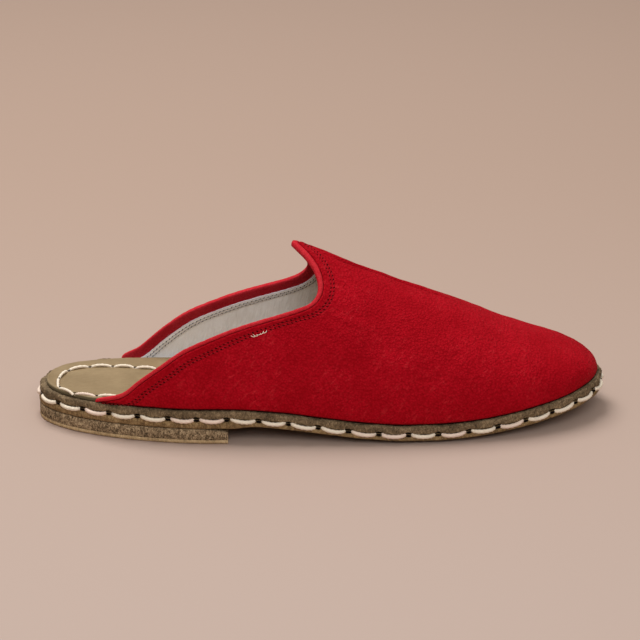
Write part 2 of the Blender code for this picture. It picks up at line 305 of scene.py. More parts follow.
@dataclass(frozen=True)
class Nubuck(Finish):
    """Brushed leather with a fine pebbled grain, a soft nap, cloudy dye and painted shade along its seams and
    folds.
    """

    deep: Colour = (0.32, 0.0004, 0.0050)
    bright: Colour = (0.50, 0.0036, 0.0135)
    worn: Colour = (0.64, 0.030, 0.038)
    painted_seam_shade: Colour = (0.012, 0.0005, 0.001)
    pebble: float = 1.15 * MM
    wrinkle: float = 1.5 * MM
    cloud: float = 21 * MM
    relief: float = 0.55 * MM
    painted_shade_height: float = 1.45 * MM

    def dress(self, shader: Shader) -> None:
        """Builds the nodes of the finish."""
        cloud = shader.noise(self.cloud, 3.0, 0.55)
        mottle = shader.noise(self.wrinkle * 1.7, 3.0, 0.6, warp=0.4)
        pebble = shader.cells(self.pebble)
        slanted = shader.stretched((0.34, 0.7, 1.0), 48.0)
        crinkle = shader.noise(self.wrinkle, 3.0, 0.58, warp=0.8, place=slanted)
        nap = shader.noise(0.30 * MM, 2.0, 0.6)
        tone = (cloud * 0.52 + mottle * 0.20 + nap * 0.16 - pebble * 0.42 + 0.21).clamped()
        colour = shader.mix(tone.step(0.22, 0.80), self.deep, self.bright)
        streak = crinkle.step(0.54, 0.70) * cloud.step(0.36, 0.62)
        colour = shader.mix(streak * 0.34, colour, self.worn)
        painted_shade_distance = shader.attribute("painted_shade_distance")
        # Painted shade: the colour is drawn towards near-black where the stored distance is small, along the
        # upper's foot on the sole, in the rim's groove, along the crest fold and on the turned-in facing.
        colour = shader.mix(painted_shade_distance.step(self.painted_shade_height, 0.45 * MM) * 0.95, colour, self.painted_seam_shade)
        soft = shader.bump(crinkle * (0.35 + 0.65 * cloud.step(0.36, 0.60)), 0.75 * MM, 0.70)
        grain = shader.bump(nap * 0.22 - pebble * 0.8, self.relief, 0.90, soft)
        shader.set(base_color=colour, roughness=0.74 + 0.14 * mottle, normal=grain, sheen_weight=0.02,
                   sheen_roughness=0.4, sheen_tint=(0.95, 0.20, 0.20), specular_ior_level=0.06)


@dataclass(frozen=True)
class RoughHide(Finish):
    """The cut and sanded edge of thick sole leather, with fibres and specks, and painted shade in its needle
    pits and under the upper's edge.
    """

    dark: Colour
    middle: Colour
    light: Colour
    pit: Colour = (0.006, 0.004, 0.003)
    fibre: tuple[float, float, float] = (1.0, 1.0, 0.45)
    fibre_size: float = 1.1 * MM
    relief: float = 0.45 * MM
    contrast: float = 1.0
    blotch: float = 0.30

    def dress(self, shader: Shader) -> None:
        """Builds the nodes of the finish."""
        stretched = shader.stretched(self.fibre)
        fibre = shader.noise(self.fibre_size, 4.0, 0.68, warp=0.6, place=stretched)
        blotch = shader.noise(9 * MM, 3.0, 0.55)
        speck = shader.noise(0.55 * MM, 2.0, 0.65)
        middle = 0.43 + 0.5 * self.blotch
        tone = fibre * 0.5 + speck * 0.36 + blotch * self.blotch - middle
        tone = (tone * (3.6 * self.contrast) + 0.5).clamped()
        colour = shader.ramp(tone, [(0.0, self.dark), (0.48, self.middle), (1.0, self.light)])
        # Painted shade: near-black where the pit attribute marks needle pits, and on the midsole's top under the
        # upper's edge.
        pit = shader.attribute("pit")
        colour = shader.mix(pit.step(0.30, 0.85), colour, self.pit)
        coarse = shader.bump(fibre, self.relief, 0.8)
        fine = shader.bump(speck, self.relief * 0.4, 0.6, coarse)
        shader.set(base_color=colour, roughness=0.80 + 0.12 * fibre, normal=fine, specular_ior_level=0.25)


@dataclass(frozen=True)
class SmoothHide(Finish):
    """Smooth vegetable-tanned leather with fine pores, a soft sheen and a darker rim along its edges."""

    light: Colour = (0.345, 0.240, 0.122)
    dark: Colour = (0.235, 0.157, 0.072)
    rim: Colour = (0.115, 0.088, 0.042)
    pore: float = 0.30 * MM

    def dress(self, shader: Shader) -> None:
        """Builds the nodes of the finish."""
        cloud = shader.noise(14 * MM, 4.0, 0.6)
        streak = shader.noise(1.2 * MM, 3.0, 0.6, place=shader.stretched((0.35, 1.0, 1.0)))
        pore = shader.noise(self.pore, 2.0, 0.6)
        tone = (cloud * 0.55 + streak * 0.35 + pore * 0.25 - 0.1).clamped()
        colour = shader.mix(tone.step(0.25, 0.75), self.dark, self.light)
        colour = shader.mix(shader.attribute("pit").step(0.15, 1.0), colour, self.rim)
        soft = shader.bump(streak, 0.10 * MM, 0.6)
        fine = shader.bump(pore, 0.06 * MM, 0.6, soft)
        shader.set(base_color=colour, roughness=0.50 + 0.16 * cloud, normal=fine, specular_ior_level=0.35)


@dataclass(frozen=True)
class Lining(Finish):
    """Thin pale lining leather with fine upright wrinkles and a lighter cut edge, pale partly in its own colour
    and partly as a painted highlight.
    """

    pale: Colour = (0.960, 0.930, 0.900)
    shade: Colour = (0.820, 0.770, 0.720)
    cut_edge: Colour = (0.860, 0.840, 0.880)

    def dress(self, shader: Shader) -> None:
        """Builds the nodes of the finish."""
        cloud = shader.noise(11 * MM, 3.0, 0.6)
        wrinkle = shader.noise(1.3 * MM, 3.0, 0.60, warp=0.5, place=shader.stretched((1.0, 0.5, 0.16), -12.0))
        pore = shader.noise(0.30 * MM, 2.0, 0.6)
        tone = (cloud * 0.4 + wrinkle * 0.5 + pore * 0.2 - 0.05).clamped()
        colour = shader.mix(tone.step(0.25, 0.75), self.shade, self.pale)
        # The cut edge's paler colour is partly its own and partly a painted highlight where the edge catches
        # light.
        colour = shader.mix(shader.attribute("pit").step(0.3, 0.9), colour, self.cut_edge)
        soft = shader.bump(wrinkle, 0.70 * MM, 0.85)
        fine = shader.bump(pore, 0.05 * MM, 0.5, soft)
        shader.set(base_color=colour, roughness=0.62 + 0.14 * wrinkle, normal=fine, specular_ior_level=0.3)


@dataclass(frozen=True)
class Thread(Finish):
    """Thread in two dye shades, picked stitch by stitch through the tint attribute."""

    plain: Colour = (0.95, 0.82, 0.65)
    tinted: Colour = (0.93, 0.73, 0.60)
    dirt: Colour = (0.30, 0.21, 0.13)
    fibre: float = 0.16 * MM

    def dress(self, shader: Shader) -> None:
        """Builds the nodes of the finish."""
        fibre = shader.noise(self.fibre, 2.0, 0.6)
        smear = shader.noise(3.5 * MM, 3.0, 0.6)
        colour = shader.mix(shader.attribute("tint").step(0.50, 1.05), self.plain, self.tinted)
        colour = shader.mix(smear.step(0.56, 0.80) * 0.35 + fibre * 0.06, colour, self.dirt)
        fine = shader.bump(fibre, 0.07 * MM, 0.7)
        shader.set(base_color=colour, roughness=0.62 + 0.15 * fibre, normal=fine, specular_ior_level=0.2)


@dataclass(frozen=True)
class NeedleHole(Finish):
    """Painted shade: the dark colour at the bottom of a needle hole."""

    shade: Colour = (0.004, 0.002, 0.002)

    def dress(self, shader: Shader) -> None:
        """Builds the nodes of the finish."""
        grit = shader.noise(0.3 * MM, 1.0, 0.5)
        colour = shader.mix(grit * 0.5, self.shade, tuple(2.5 * part for part in self.shade))
        shader.set(base_color=colour, roughness=0.95, specular_ior_level=0.05)


@dataclass(frozen=True)
class Paper(Finish):
    """Seamless studio paper with painted light: a little paler towards the camera and darker away from it."""

    near: Colour = (0.515, 0.397, 0.338)
    far: Colour = (0.445, 0.317, 0.249)
    near_y: float = -0.45
    far_y: float = 0.45

    def dress(self, shader: Shader) -> None:
        """Builds the nodes of the finish."""
        y = shader.add("ShaderNodeSeparateXYZ", None, {"Vector": shader.place})["Y"]
        grain = shader.noise(0.9 * MM, 2.0, 0.5)
        # Painted light: the colour fades from near to far along Y, standing in for light that falls off across
        # the floor.
        colour = shader.mix(y.step(self.near_y, self.far_y), self.near, self.far)
        shader.set(base_color=colour, roughness=0.85 + 0.1 * grain, specular_ior_level=0.15)


NUBUCK = Nubuck("red_nubuck")
EDGE_NUBUCK = Nubuck("red_nubuck_edge", deep=(0.50, 0.012, 0.021), bright=(0.68, 0.042, 0.054),
                     pebble=0.7 * MM, relief=0.14 * MM)
MIDSOLE_HIDE = RoughHide("midsole_hide", dark=(0.052, 0.034, 0.017), middle=(0.165, 0.110, 0.058),
                         light=(0.350, 0.248, 0.138), fibre=(1.0, 1.0, 0.7), contrast=1.1)
OUTSOLE_HIDE = RoughHide("outsole_hide", dark=(0.085, 0.048, 0.019), middle=(0.245, 0.150, 0.064),
                         light=(0.470, 0.322, 0.156), contrast=1.0)
HEEL_HIDE = RoughHide("heel_hide", dark=(0.045, 0.029, 0.015), middle=(0.268, 0.180, 0.098),
                      light=(0.590, 0.435, 0.262), contrast=1.5, fibre=(1.0, 1.0, 0.6), blotch=0.12)
TREAD_HIDE = RoughHide("heel_tread_hide", dark=(0.225, 0.145, 0.070), middle=(0.530, 0.365, 0.190),
                       light=(0.740, 0.550, 0.315), relief=0.2 * MM, contrast=0.8)
FOOTBED_HIDE = SmoothHide("footbed_hide")
PALE_LINING = Lining("pale_lining")
SOLE_THREAD = Thread("waxed_thread")
RED_THREAD = Thread("red_thread", plain=(0.40, 0.005, 0.012), tinted=(0.30, 0.003, 0.008),
                    dirt=(0.12, 0.003, 0.005), fibre=0.1 * MM)
PALE_THREAD = Thread("pale_thread", plain=(0.55, 0.53, 0.55), tinted=(0.40, 0.38, 0.42),
                     dirt=(0.2, 0.18, 0.18), fibre=0.1 * MM)
DARK_HOLE = NeedleHole("needle_hole")
RED_HOLE = NeedleHole("red_needle_hole", shade=(0.030, 0.0008, 0.0012))
STUDIO_PAPER = Paper("studio_paper")


# The shoe's own forms


class Side(Enum):
    """A side of the foot, with its sign along Y."""

    LATERAL = -1
    MEDIAL = 1


@dataclass(frozen=True)
class Width:
    """Half width of the sole, as a share of the ball width, at a share of the length."""

    station: float
    share: float


@dataclass(frozen=True)
class Rounding:
    """Exponents of a rounded end, along the shoe and across it."""

    along: float
    across: float


@dataclass(frozen=True)
class Girth:
    """One section of the last: crest height as a share of the instep height, and how full each side is."""

    station: float
    crest: float
    lateral: float
    medial: float


@dataclass(frozen=True)
class Collar:
    """A place on the collar: shares of the length and the instep height, and its section line's foot."""

    station: float
    height: float
    root: float


SOLE_WIDTHS = {
    Side.LATERAL: (Width(0.300, 0.458), Width(0.607, 0.486)),
    Side.MEDIAL: (Width(0.160, 0.357), Width(0.375, 0.364), Width(0.680, 0.514)),
}
HEEL_ROUND = {Side.LATERAL: Rounding(1.6, 2.0), Side.MEDIAL: Rounding(2.2, 2.2)}
TOE_ROUND = {Side.LATERAL: Rounding(2.2, 2.1), Side.MEDIAL: Rounding(2.4, 2.0)}
TOE_BOX = Rounding(1.5, 2.0)
GIRTHS = (
    Girth(0.100, 0.610, 1.45, 1.70), Girth(0.214, 0.800, 1.45, 1.70), Girth(0.321, 0.945, 1.45, 1.70),
    Girth(0.393, 0.998, 1.45, 1.70), Girth(0.448, 1.000, 1.50, 1.65), Girth(0.482, 0.978, 1.55, 1.62),
    Girth(0.543, 0.905, 1.65, 1.65), Girth(0.596, 0.836, 1.70, 1.70), Girth(0.664, 0.744, 1.78, 1.75),
    Girth(0.725, 0.648, 1.88, 1.85), Girth(0.779, 0.546, 1.98, 1.95), Girth(0.825, 0.458, 2.08, 2.05),
    Girth(0.871, 0.386, 2.15, 2.10), Girth(0.900, 0.360, 2.18, 2.15), Girth(0.939, 0.332, 2.20, 2.20),
    Girth(1.000, 0.318, 2.20, 2.20),
)
COLLARS = {
    Side.LATERAL: (
        Collar(0.103, 0.010, 0.1035), Collar(0.109, 0.030, 0.110), Collar(0.149, 0.084, 0.150),
        Collar(0.182, 0.185, 0.184), Collar(0.219, 0.283, 0.223), Collar(0.259, 0.383, 0.268),
        Collar(0.322, 0.483, 0.336), Collar(0.398, 0.582, 0.421), Collar(0.450, 0.653, 0.479),
        Collar(0.479, 0.705, 0.514), Collar(0.492, 0.774, 0.539), Collar(0.489, 0.856, 0.564),
        Collar(0.473, 0.930, 0.593), Collar(0.4505, 0.989, 0.620), Collar(0.448, 1.000, 0.629),
    ),
    Side.MEDIAL: (
        Collar(0.141, 0.010, 0.1415), Collar(0.147, 0.032, 0.148), Collar(0.174, 0.084, 0.175),
        Collar(0.200, 0.172, 0.204), Collar(0.230, 0.267, 0.236), Collar(0.266, 0.359, 0.275),
        Collar(0.320, 0.449, 0.332), Collar(0.386, 0.544, 0.407), Collar(0.432, 0.613, 0.464),
        Collar(0.459, 0.670, 0.504), Collar(0.474, 0.743, 0.532), Collar(0.475, 0.823, 0.561),
        Collar(0.466, 0.912, 0.593), Collar(0.4505, 0.989, 0.620), Collar(0.448, 1.000, 0.629),
    ),
}


def smoothstep(share: Array) -> Array:
    """0 below 0, 1 above 1 and a soft S between them."""
    share = np.clip(share, 0.0, 1.0)
    return share * share * (3.0 - 2.0 * share)


def through(places: Sequence[float], values: Sequence[float], where: Array) -> Array:
    """A smooth curve through a table's rows.

    Args:
        places: Where the rows stand, rising.
        values: The value of each row.
        where: Places to read the curve at.

    Returns:
        The curve's values there.
    """
    places = np.asarray(places, float)
    values = np.asarray(values, float)
    slopes = np.gradient(values, places)
    row = np.clip(np.searchsorted(places, where) - 1, 0, len(places) - 2)
    span = places[row + 1] - places[row]
    s = np.clip((where - places[row]) / span, 0.0, 1.0)
    start = values[row] * (1 + 2 * s) + span * slopes[row] * s
    end = values[row + 1] * (3 - 2 * s) - span * slopes[row + 1] * (1 - s)
    return start * (1 - s) ** 2 + end * s**2


def unit(vectors: Array) -> Array:
    """Vectors scaled to length one."""
    return vectors / np.maximum(np.linalg.norm(vectors, axis=-1, keepdims=True), 1e-12)


def ripple(places: Array, length: float, seed: int, waves: int = 7) -> Array:
    """Smooth irregular waves, from about -1 to 1.

    Args:
        places: Places along a line, or points in space.
        length: The usual wavelength.
        seed: Picks the waves.
        waves: How many waves are added.

    Returns:
        One value for each place.
    """
    chance = np.random.default_rng(seed)
    points = places[..., None] if places.ndim == 1 else places
    total = np.zeros(points.shape[:-1])
    for _ in range(waves):
        direction = chance.normal(size=points.shape[-1])
        direction /= np.linalg.norm(direction)
        stretch = chance.uniform(0.6, 1.6)
        total += np.sin(points @ direction * (tau * stretch / length) + chance.uniform(0.0, tau))
    return total / np.sqrt(waves * 1.6)


@dataclass(frozen=True)
class Footprint:
    """Outline and layer heights of the sole."""

    length: float
    ball_width: float
    heel_length: float
    heel_top: float
    outsole: float = 4.4 * MM
    midsole: float = 4.4 * MM
    insole: float = 2.0 * MM
    gap: float = 0.3 * MM
    toe_spring: float = 9.6 * MM
    spring_curve: float = 1.45
    tread_from: float = 0.657
    tread_to: float = 0.714
    toe_swing: float = 9.0 * MM

    def underside(self, x: Array) -> Array:
        """Height of the outsole's lower face: heel, arch, flat tread and toe spring."""
        start, end = self.tread_from * self.length, self.tread_to * self.length
        arch = self.heel_top * (1 - smoothstep((x - self.heel_length) / (start - self.heel_length)))
        share = np.clip(x - end, 0.0, None) / (self.length - end)
        return np.where(x <= start, arch, self.toe_spring * share**self.spring_curve)

    def joint(self, x: Array) -> Array:
        """Height of the joint between outsole and midsole."""
        return self.underside(x) + self.outsole + 0.5 * self.gap

    def feather(self, x: Array) -> Array:
        """Height at which the upper and the footbed start, over the midsole."""
        return self.underside(x) + self.outsole + self.midsole + 2 * self.gap

    def edge(self, side: Side, x: Array, inset: float = 0.0, toe_inset: Optional[float] = None) -> Array:
        """Where one side of the outline stands.

        Args:
            side: The side of the foot.
            x: Stations along the shoe.
            inset: How far the outline is drawn in.
            toe_inset: How far it is drawn in at the toe, if otherwise.

        Returns:
            The outline's Y at each station.
        """
        toe_end = self.length - (inset if toe_inset is None else toe_inset)
        rows = SOLE_WIDTHS[side]
        heel_end, ball = rows[0].station * self.length, rows[-1].station * self.length
        half = np.full_like(x, rows[0].share)
        for low, high in zip(rows, rows[1:]):
            share = (x / self.length - low.station) / (high.station - low.station)
            half += (high.share - low.share) * smoothstep(share)
        reach = side.value * (half * self.ball_width - inset)
        back = np.clip((heel_end - x) / (heel_end - inset), 0.0, 1.0)
        ahead = np.clip((x - ball) / (toe_end - ball), 0.0, 1.0)
        heel, toe = HEEL_ROUND[side], TOE_ROUND[side]
        rounded = reach * (1 - back**heel.along) ** (1 / heel.across)
        swung = self.toe_swing + (reach - self.toe_swing) * (1 - ahead**toe.along) ** (1 / toe.across)
        return np.where(x > ball, swung, rounded)


@dataclass(frozen=True)
class Last(Footprint):
    """The form that the upper was pulled over. A place on it is a side, a station and a climb.

    The climb is 0 at the sole, 1 where the side is widest just over it, and 2 at the crest.
    """

    instep_height: float = 75.2 * MM
    upper_inset: float = 0.4 * MM
    upper_toe_inset: float = 2.4 * MM
    tuck: float = 1.2 * MM
    rise: float = 4.0 * MM
    crest_turn: float = 0.54
    toe_box_from: float = 0.843
    samples: int = 90
    collar_steps: int = 140

    @property
    def toe_tip(self) -> float:
        """The station of the upper's foremost point."""
        return self.length - self.upper_toe_inset

    def crest_y(self, x: Array) -> Array:
        """Sideways place of the crest, which swings to the inner side towards the toe."""
        turn = self.crest_turn * self.length
        return self.toe_swing * smoothstep((x - turn) / (self.length - turn))

    def crest(self, x: Array) -> Array:
        """Height of the crest over the feather line."""
        share = through([g.station for g in GIRTHS], [g.crest for g in GIRTHS], x / self.length)
        height = self.instep_height * share
        start = self.toe_box_from * self.length
        toe = np.clip((x - start) / (self.toe_tip - start), 0.0, 1.0)
        return height * (1 - toe**TOE_BOX.along) ** (1 / TOE_BOX.across)

    def fullness(self, side: Side, x: Array) -> Array:
        """How full the section is on one side."""
        values = [g.lateral if side is Side.LATERAL else g.medial for g in GIRTHS]
        return through([g.station for g in GIRTHS], values, x / self.length)

    def at(self, side: Side, x: Array, climb: Array) -> Array:
        """Points of the last.

        Args:
            side: The side of the foot.
            x: Stations.
            climb: How far up each section, from 0 to 2.

        Returns:
            Points in the shoe's frame.
        """
        x, climb = np.broadcast_arrays(np.asarray(x, float), np.asarray(climb, float))
        crest, middle = self.crest(x), self.crest_y(x)
        half = np.abs(self.edge(side, x, self.upper_inset, self.upper_toe_inset) - middle)
        rise = np.minimum(self.rise, 0.35 * crest)
        tuck = np.minimum(self.tuck, 0.3 * half)
        power = 2 / self.fullness(side, x)
        foot = np.clip(climb, 0.0, 1.0) * (pi / 2)
        over = np.clip(climb - 1.0, 0.0, 1.0) * (pi / 2)
        low = climb < 1.0
        out = np.where(low, half - tuck * (1 - np.sin(foot)), half * np.clip(np.cos(over), 0.0, 1.0) ** power)
        up = np.where(low, rise * (1 - np.cos(foot)), rise + (crest - rise) * np.sin(over) ** power)
        return np.stack([x, middle + side.value * out, self.feather(x) + up], axis=-1)

    def _section_paths(self, side: Side, x: Array) -> tuple[Array, Array]:
        """Climbs, and for each station the share of its section's path at each of them."""
        climbs = np.linspace(0.0, 2.0, self.samples)
        lines = self.at(side, x[:, None], climbs[None, :])
        steps = np.linalg.norm(np.diff(lines, axis=1), axis=2)
        path = np.concatenate([np.zeros((len(x), 1)), np.cumsum(steps, axis=1)], axis=1)
        return climbs, path / path[:, -1:]

    def climb_at_share(self, side: Side, x: Array, share: Array) -> Array:
        """The climb at a share of each section's path from the sole to the crest."""
        climbs, path = self._section_paths(side, x)
        low = np.clip((path <= share[:, None]).sum(axis=1) - 1, 0, self.samples - 2)
        row = np.arange(len(x))
        part = (share - path[row, low]) / np.maximum(path[row, low + 1] - path[row, low], 1e-12)
        return climbs[low] + np.clip(part, 0.0, 1.0) * (climbs[1] - climbs[0])

    def share_at_climb(self, side: Side, x: Array, climb: Array) -> Array:
        """The share of each section's path at a climb."""
        climbs, path = self._section_paths(side, x)
        return np.array([np.interp(one, climbs, line) for one, line in zip(climb, path)])

    def outward(self, side: Side, x: Array, climb: Array) -> Array:
        """Outward directions. Under the widest line the direction there is used."""
        near, step = 0.4 * MM, 0.004
        x = np.clip(x, None, self.toe_tip - 2 * near)
        inner = np.clip(climb, 1.03, 1.975)
        up = self.at(side, x, inner + step) - self.at(side, x, inner - step)
        along = self.at(side, x + near, inner) - self.at(side, x - near, inner)
        flank = unit(-side.value * np.cross(along, up))
        ridge = self.at(side, x + near, 2.0) - self.at(side, x - near, 2.0)
        top = unit(np.cross(ridge, np.array([0.0, 1.0, 0.0])))
        share = smoothstep((climb - 1.90) / 0.10)[..., None]
        return unit(flank * (1 - share) + top * share)

    def collar(self, side: Side) -> tuple[Array, Array, Array]:
        """The collar from the quarter's end to the peak: stations, climbs and roots."""
        table = COLLARS[side]
        index = np.arange(len(table))
        place = np.linspace(0, len(table) - 1, self.collar_steps + 1)
        station, height, root = (
            through(index, [getattr(row, name) for row in table], place)
            for name in ("station", "height", "root")
        )
        x, root, height = self.length * station, self.length * root, self.instep_height * height
        crest = self.crest(x)
        rise = np.minimum(self.rise, 0.35 * crest)
        share = np.clip((height - rise) / (crest - rise), 0.0, 1.0)
        over = 1 + np.arcsin(share ** (self.fullness(side, x) / 2)) * 2 / pi
        under = np.arccos(np.clip(1 - height / rise, -1.0, 1.0)) * 2 / pi
        climb = np.where(height < rise, under, over)
        climb[-1] = 2.0
        return x, climb, root


@dataclass
class CollarLine:
    """The collar's edge from quarter to tongue to quarter, and lines that run along it inside."""

    last: Last
    sides: list[Side] = field(default_factory=list)
    points: Array = None
    inwards: Array = None
    roots: Array = None

    def __post_init__(self) -> None:
        """Works out the edge's points and the directions inwards from it, along the last."""
        parts = []
        for side in Side:
            x, climb, root = self.last.collar(side)
            part = [self.last.at(side, x, climb), self.last.outward(side, x, climb), root]
            if side is Side.MEDIAL:
                part = [values[-2::-1] for values in part]
            self.sides += [side] * len(part[2])
            parts.append(part)
        self.points, normals, self.roots = (np.concatenate(pair) for pair in zip(*parts))
        tangents = np.gradient(self.points, axis=0)
        self.inwards = unit(np.cross(tangents, normals))

    def on(self, side: Side) -> Array:
        """Which of the points are on this side."""
        return np.array([one is side for one in self.sides])

    @property
    def peak(self) -> int:
        """The index of the tongue's peak."""
        return self.last.collar_steps

    def inside(self, distance: float | Array) -> tuple[Array, Array]:
        """The line at a distance inside the edge.

        Near the peak the two halves meet on the crest, and places past there stay where they meet.

        Args:
            distance: How far from the edge, one value or one for each point of the edge.

        Returns:
            Stations and climbs, one for each point of the edge.
        """
        climbs = np.linspace(0.0, 2.0, 900)
        target = self.points + self.inwards * np.asarray(distance)[..., None]
        x = target[:, 0].copy()
        climb = np.empty(len(x))
        for side in Side:
            mine = self.on(side)
            lines = self.last.at(side, x[mine][:, None], climbs[None, :])
            gaps = np.linalg.norm(lines - target[mine][:, None, :], axis=2)
            climb[mine] = climbs[gaps.argmin(axis=1)]
        met = climb > 1.999
        met[self.peak] = True
        run = np.flatnonzero(~met)
        before, after = run[run < self.peak][-1] + 1, run[run > self.peak][0]
        meeting = max(x[before], x[after - 1], x[self.peak])
        x[before:after] = meeting
        climb[before:after] = 2.0
        return x, climb

    @property
    def away(self) -> Array:
        """How far each point is from the peak, from 0 to 1 at the quarters."""
        return np.abs(np.arange(len(self.points)) - self.peak) / self.peak

    def path(self, distance: float | Array, height: Callable[[Side, Array, Array, Array], Array]) -> "Path":
        """A line inside the edge, on one of the upper's skins.

        Args:
            distance: How far from the edge, one value or one for each point of the edge.
            height: Gives the skin's height off the last from side, stations, climbs and points.

        Returns:
            The line with its outward directions.
        """
        x, climb = self.inside(distance)
        keep = np.ones(len(x), bool)
        keep[1:] = np.abs(np.diff(x)) + np.abs(np.diff(climb)) > 1e-9
        points, normals = np.empty((len(x), 3)), np.empty((len(x), 3))
        for side in Side:
            mine = self.on(side)
            skin = self.last.at(side, x[mine], climb[mine])
            normals[mine] = self.last.outward(side, x[mine], climb[mine])
            points[mine] = skin + normals[mine] * height(side, x[mine], climb[mine], skin)[:, None]
        return Path(points[keep], normals[keep])


@dataclass
class Path:
    """Places with an outward direction each, and the direction along them."""

    points: Array
    outward: Array
    along: Array = None

    def lengths(self) -> Array:
        """Path length at each place."""
        steps = np.linalg.norm(np.diff(self.points, axis=0), axis=1)
        return np.concatenate([[0.0], np.cumsum(steps)])

    def read(self, where: Array) -> "Path":
        """The path at the given lengths along it."""
        lengths = self.lengths()
        reach = 0.3 * MM
        points, outward, ahead, behind = (
            np.column_stack([np.interp(places, lengths, values[:, axis]) for axis in range(3)])
            for places, values in ((where, self.points), (where, self.outward),
                                   (where + reach, self.points), (where - reach, self.points))
        )
        return Path(points, unit(outward), unit(ahead - behind))

    def spaced(self, pitch: float, phase: float = 0.0, trim: float = 0.0) -> "Path":
        """The path at an even spacing."""
        return self.read(np.arange(trim + phase * pitch, self.lengths()[-1] - trim, pitch))


# Meshes


def linked(name: str, data: bpy.types.ID) -> bpy.types.Object:
    """A new object in the scene that holds this mesh, lamp or camera."""
    thing = bpy.data.objects.new(name, data)
    bpy.context.scene.collection.objects.link(thing)
    return thing


def search_tree(points: Iterable[Sequence[float]]) -> kdtree.KDTree:
    """A tree that finds the nearest of these points."""
    places = list(points)
    tree = kdtree.KDTree(len(places))
    for index, point in enumerate(places):
        tree.insert(point, index)
    tree.balance()
    return tree


@dataclass
class Bench:
    """Where finished pieces are made: it moves them onto the part and gives them to the frame."""

    shift: Array

    def piece(self, name: str, points: Array, faces: Iterable[Sequence[int]], finish: Finish,
              values: Optional[dict[str, Array]] = None, sharp: float = 60.0) -> bpy.types.Object:
        """Makes a mesh object from points in the shoe's frame.

        Args:
            name: The piece's name.
            points: Its points.
            faces: Its faces. A corner that a face names twice is left out.
            finish: Its finish.
            values: Values stored on its points, by name.
            sharp: The angle in degrees over which an edge stays sharp.

        Returns:
            The object.
        """
        shape = bmesh.new()
        layers = {key: shape.verts.layers.float.new(key) for key in values or {}}
        corners = [shape.verts.new(point) for point in (points + self.shift).tolist()]
        for key, layer in layers.items():
            for corner, value in zip(corners, values[key].tolist()):
                corner[layer] = value
        for face in faces:
            distinct = list(dict.fromkeys(face))
            if len(distinct) > 2:
                shape.faces.new([corners[index] for index in distinct])
        loose = [corner for corner in shape.verts if not corner.link_faces]
        bmesh.ops.delete(shape, geom=loose, context="VERTS")
        bmesh.ops.remove_doubles(shape, verts=shape.verts, dist=1e-6)
        bmesh.ops.recalc_face_normals(shape, faces=shape.faces)
        mesh = bpy.data.meshes.new(name)
        shape.to_mesh(mesh)
        shape.free()
        mesh.shade_smooth()
        mesh.set_sharp_from_angle(angle=radians(sharp))
        mesh.materials.append(finish.material())
        return linked(name, mesh)

    def finished(self, thing: bpy.types.Object, slot: str, *nodes: str) -> None:
        """Gives a piece to the frame and hides the solids that it stands for."""
        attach(thing, BODY)
        if nodes:
            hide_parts(*nodes)
        triangles = sum(len(face.vertices) - 2 for face in thing.data.polygons)
        log.info("%s: %d triangles", thing.name, triangles)


def grid_faces(rows: int, columns: int, start: int = 0, closed: bool = False) -> list[tuple[int, ...]]:
    """Faces of a grid whose points are numbered row by row, perhaps closed along each row."""
    faces = []
    for row in range(rows - 1):
        for column in range(columns if closed else columns - 1):
            after = (column + 1) % columns
            low, high = start + row * columns, start + (row + 1) * columns
            faces.append((low + column, low + after, high + after, high + column))
    return faces


# Geometry node tools


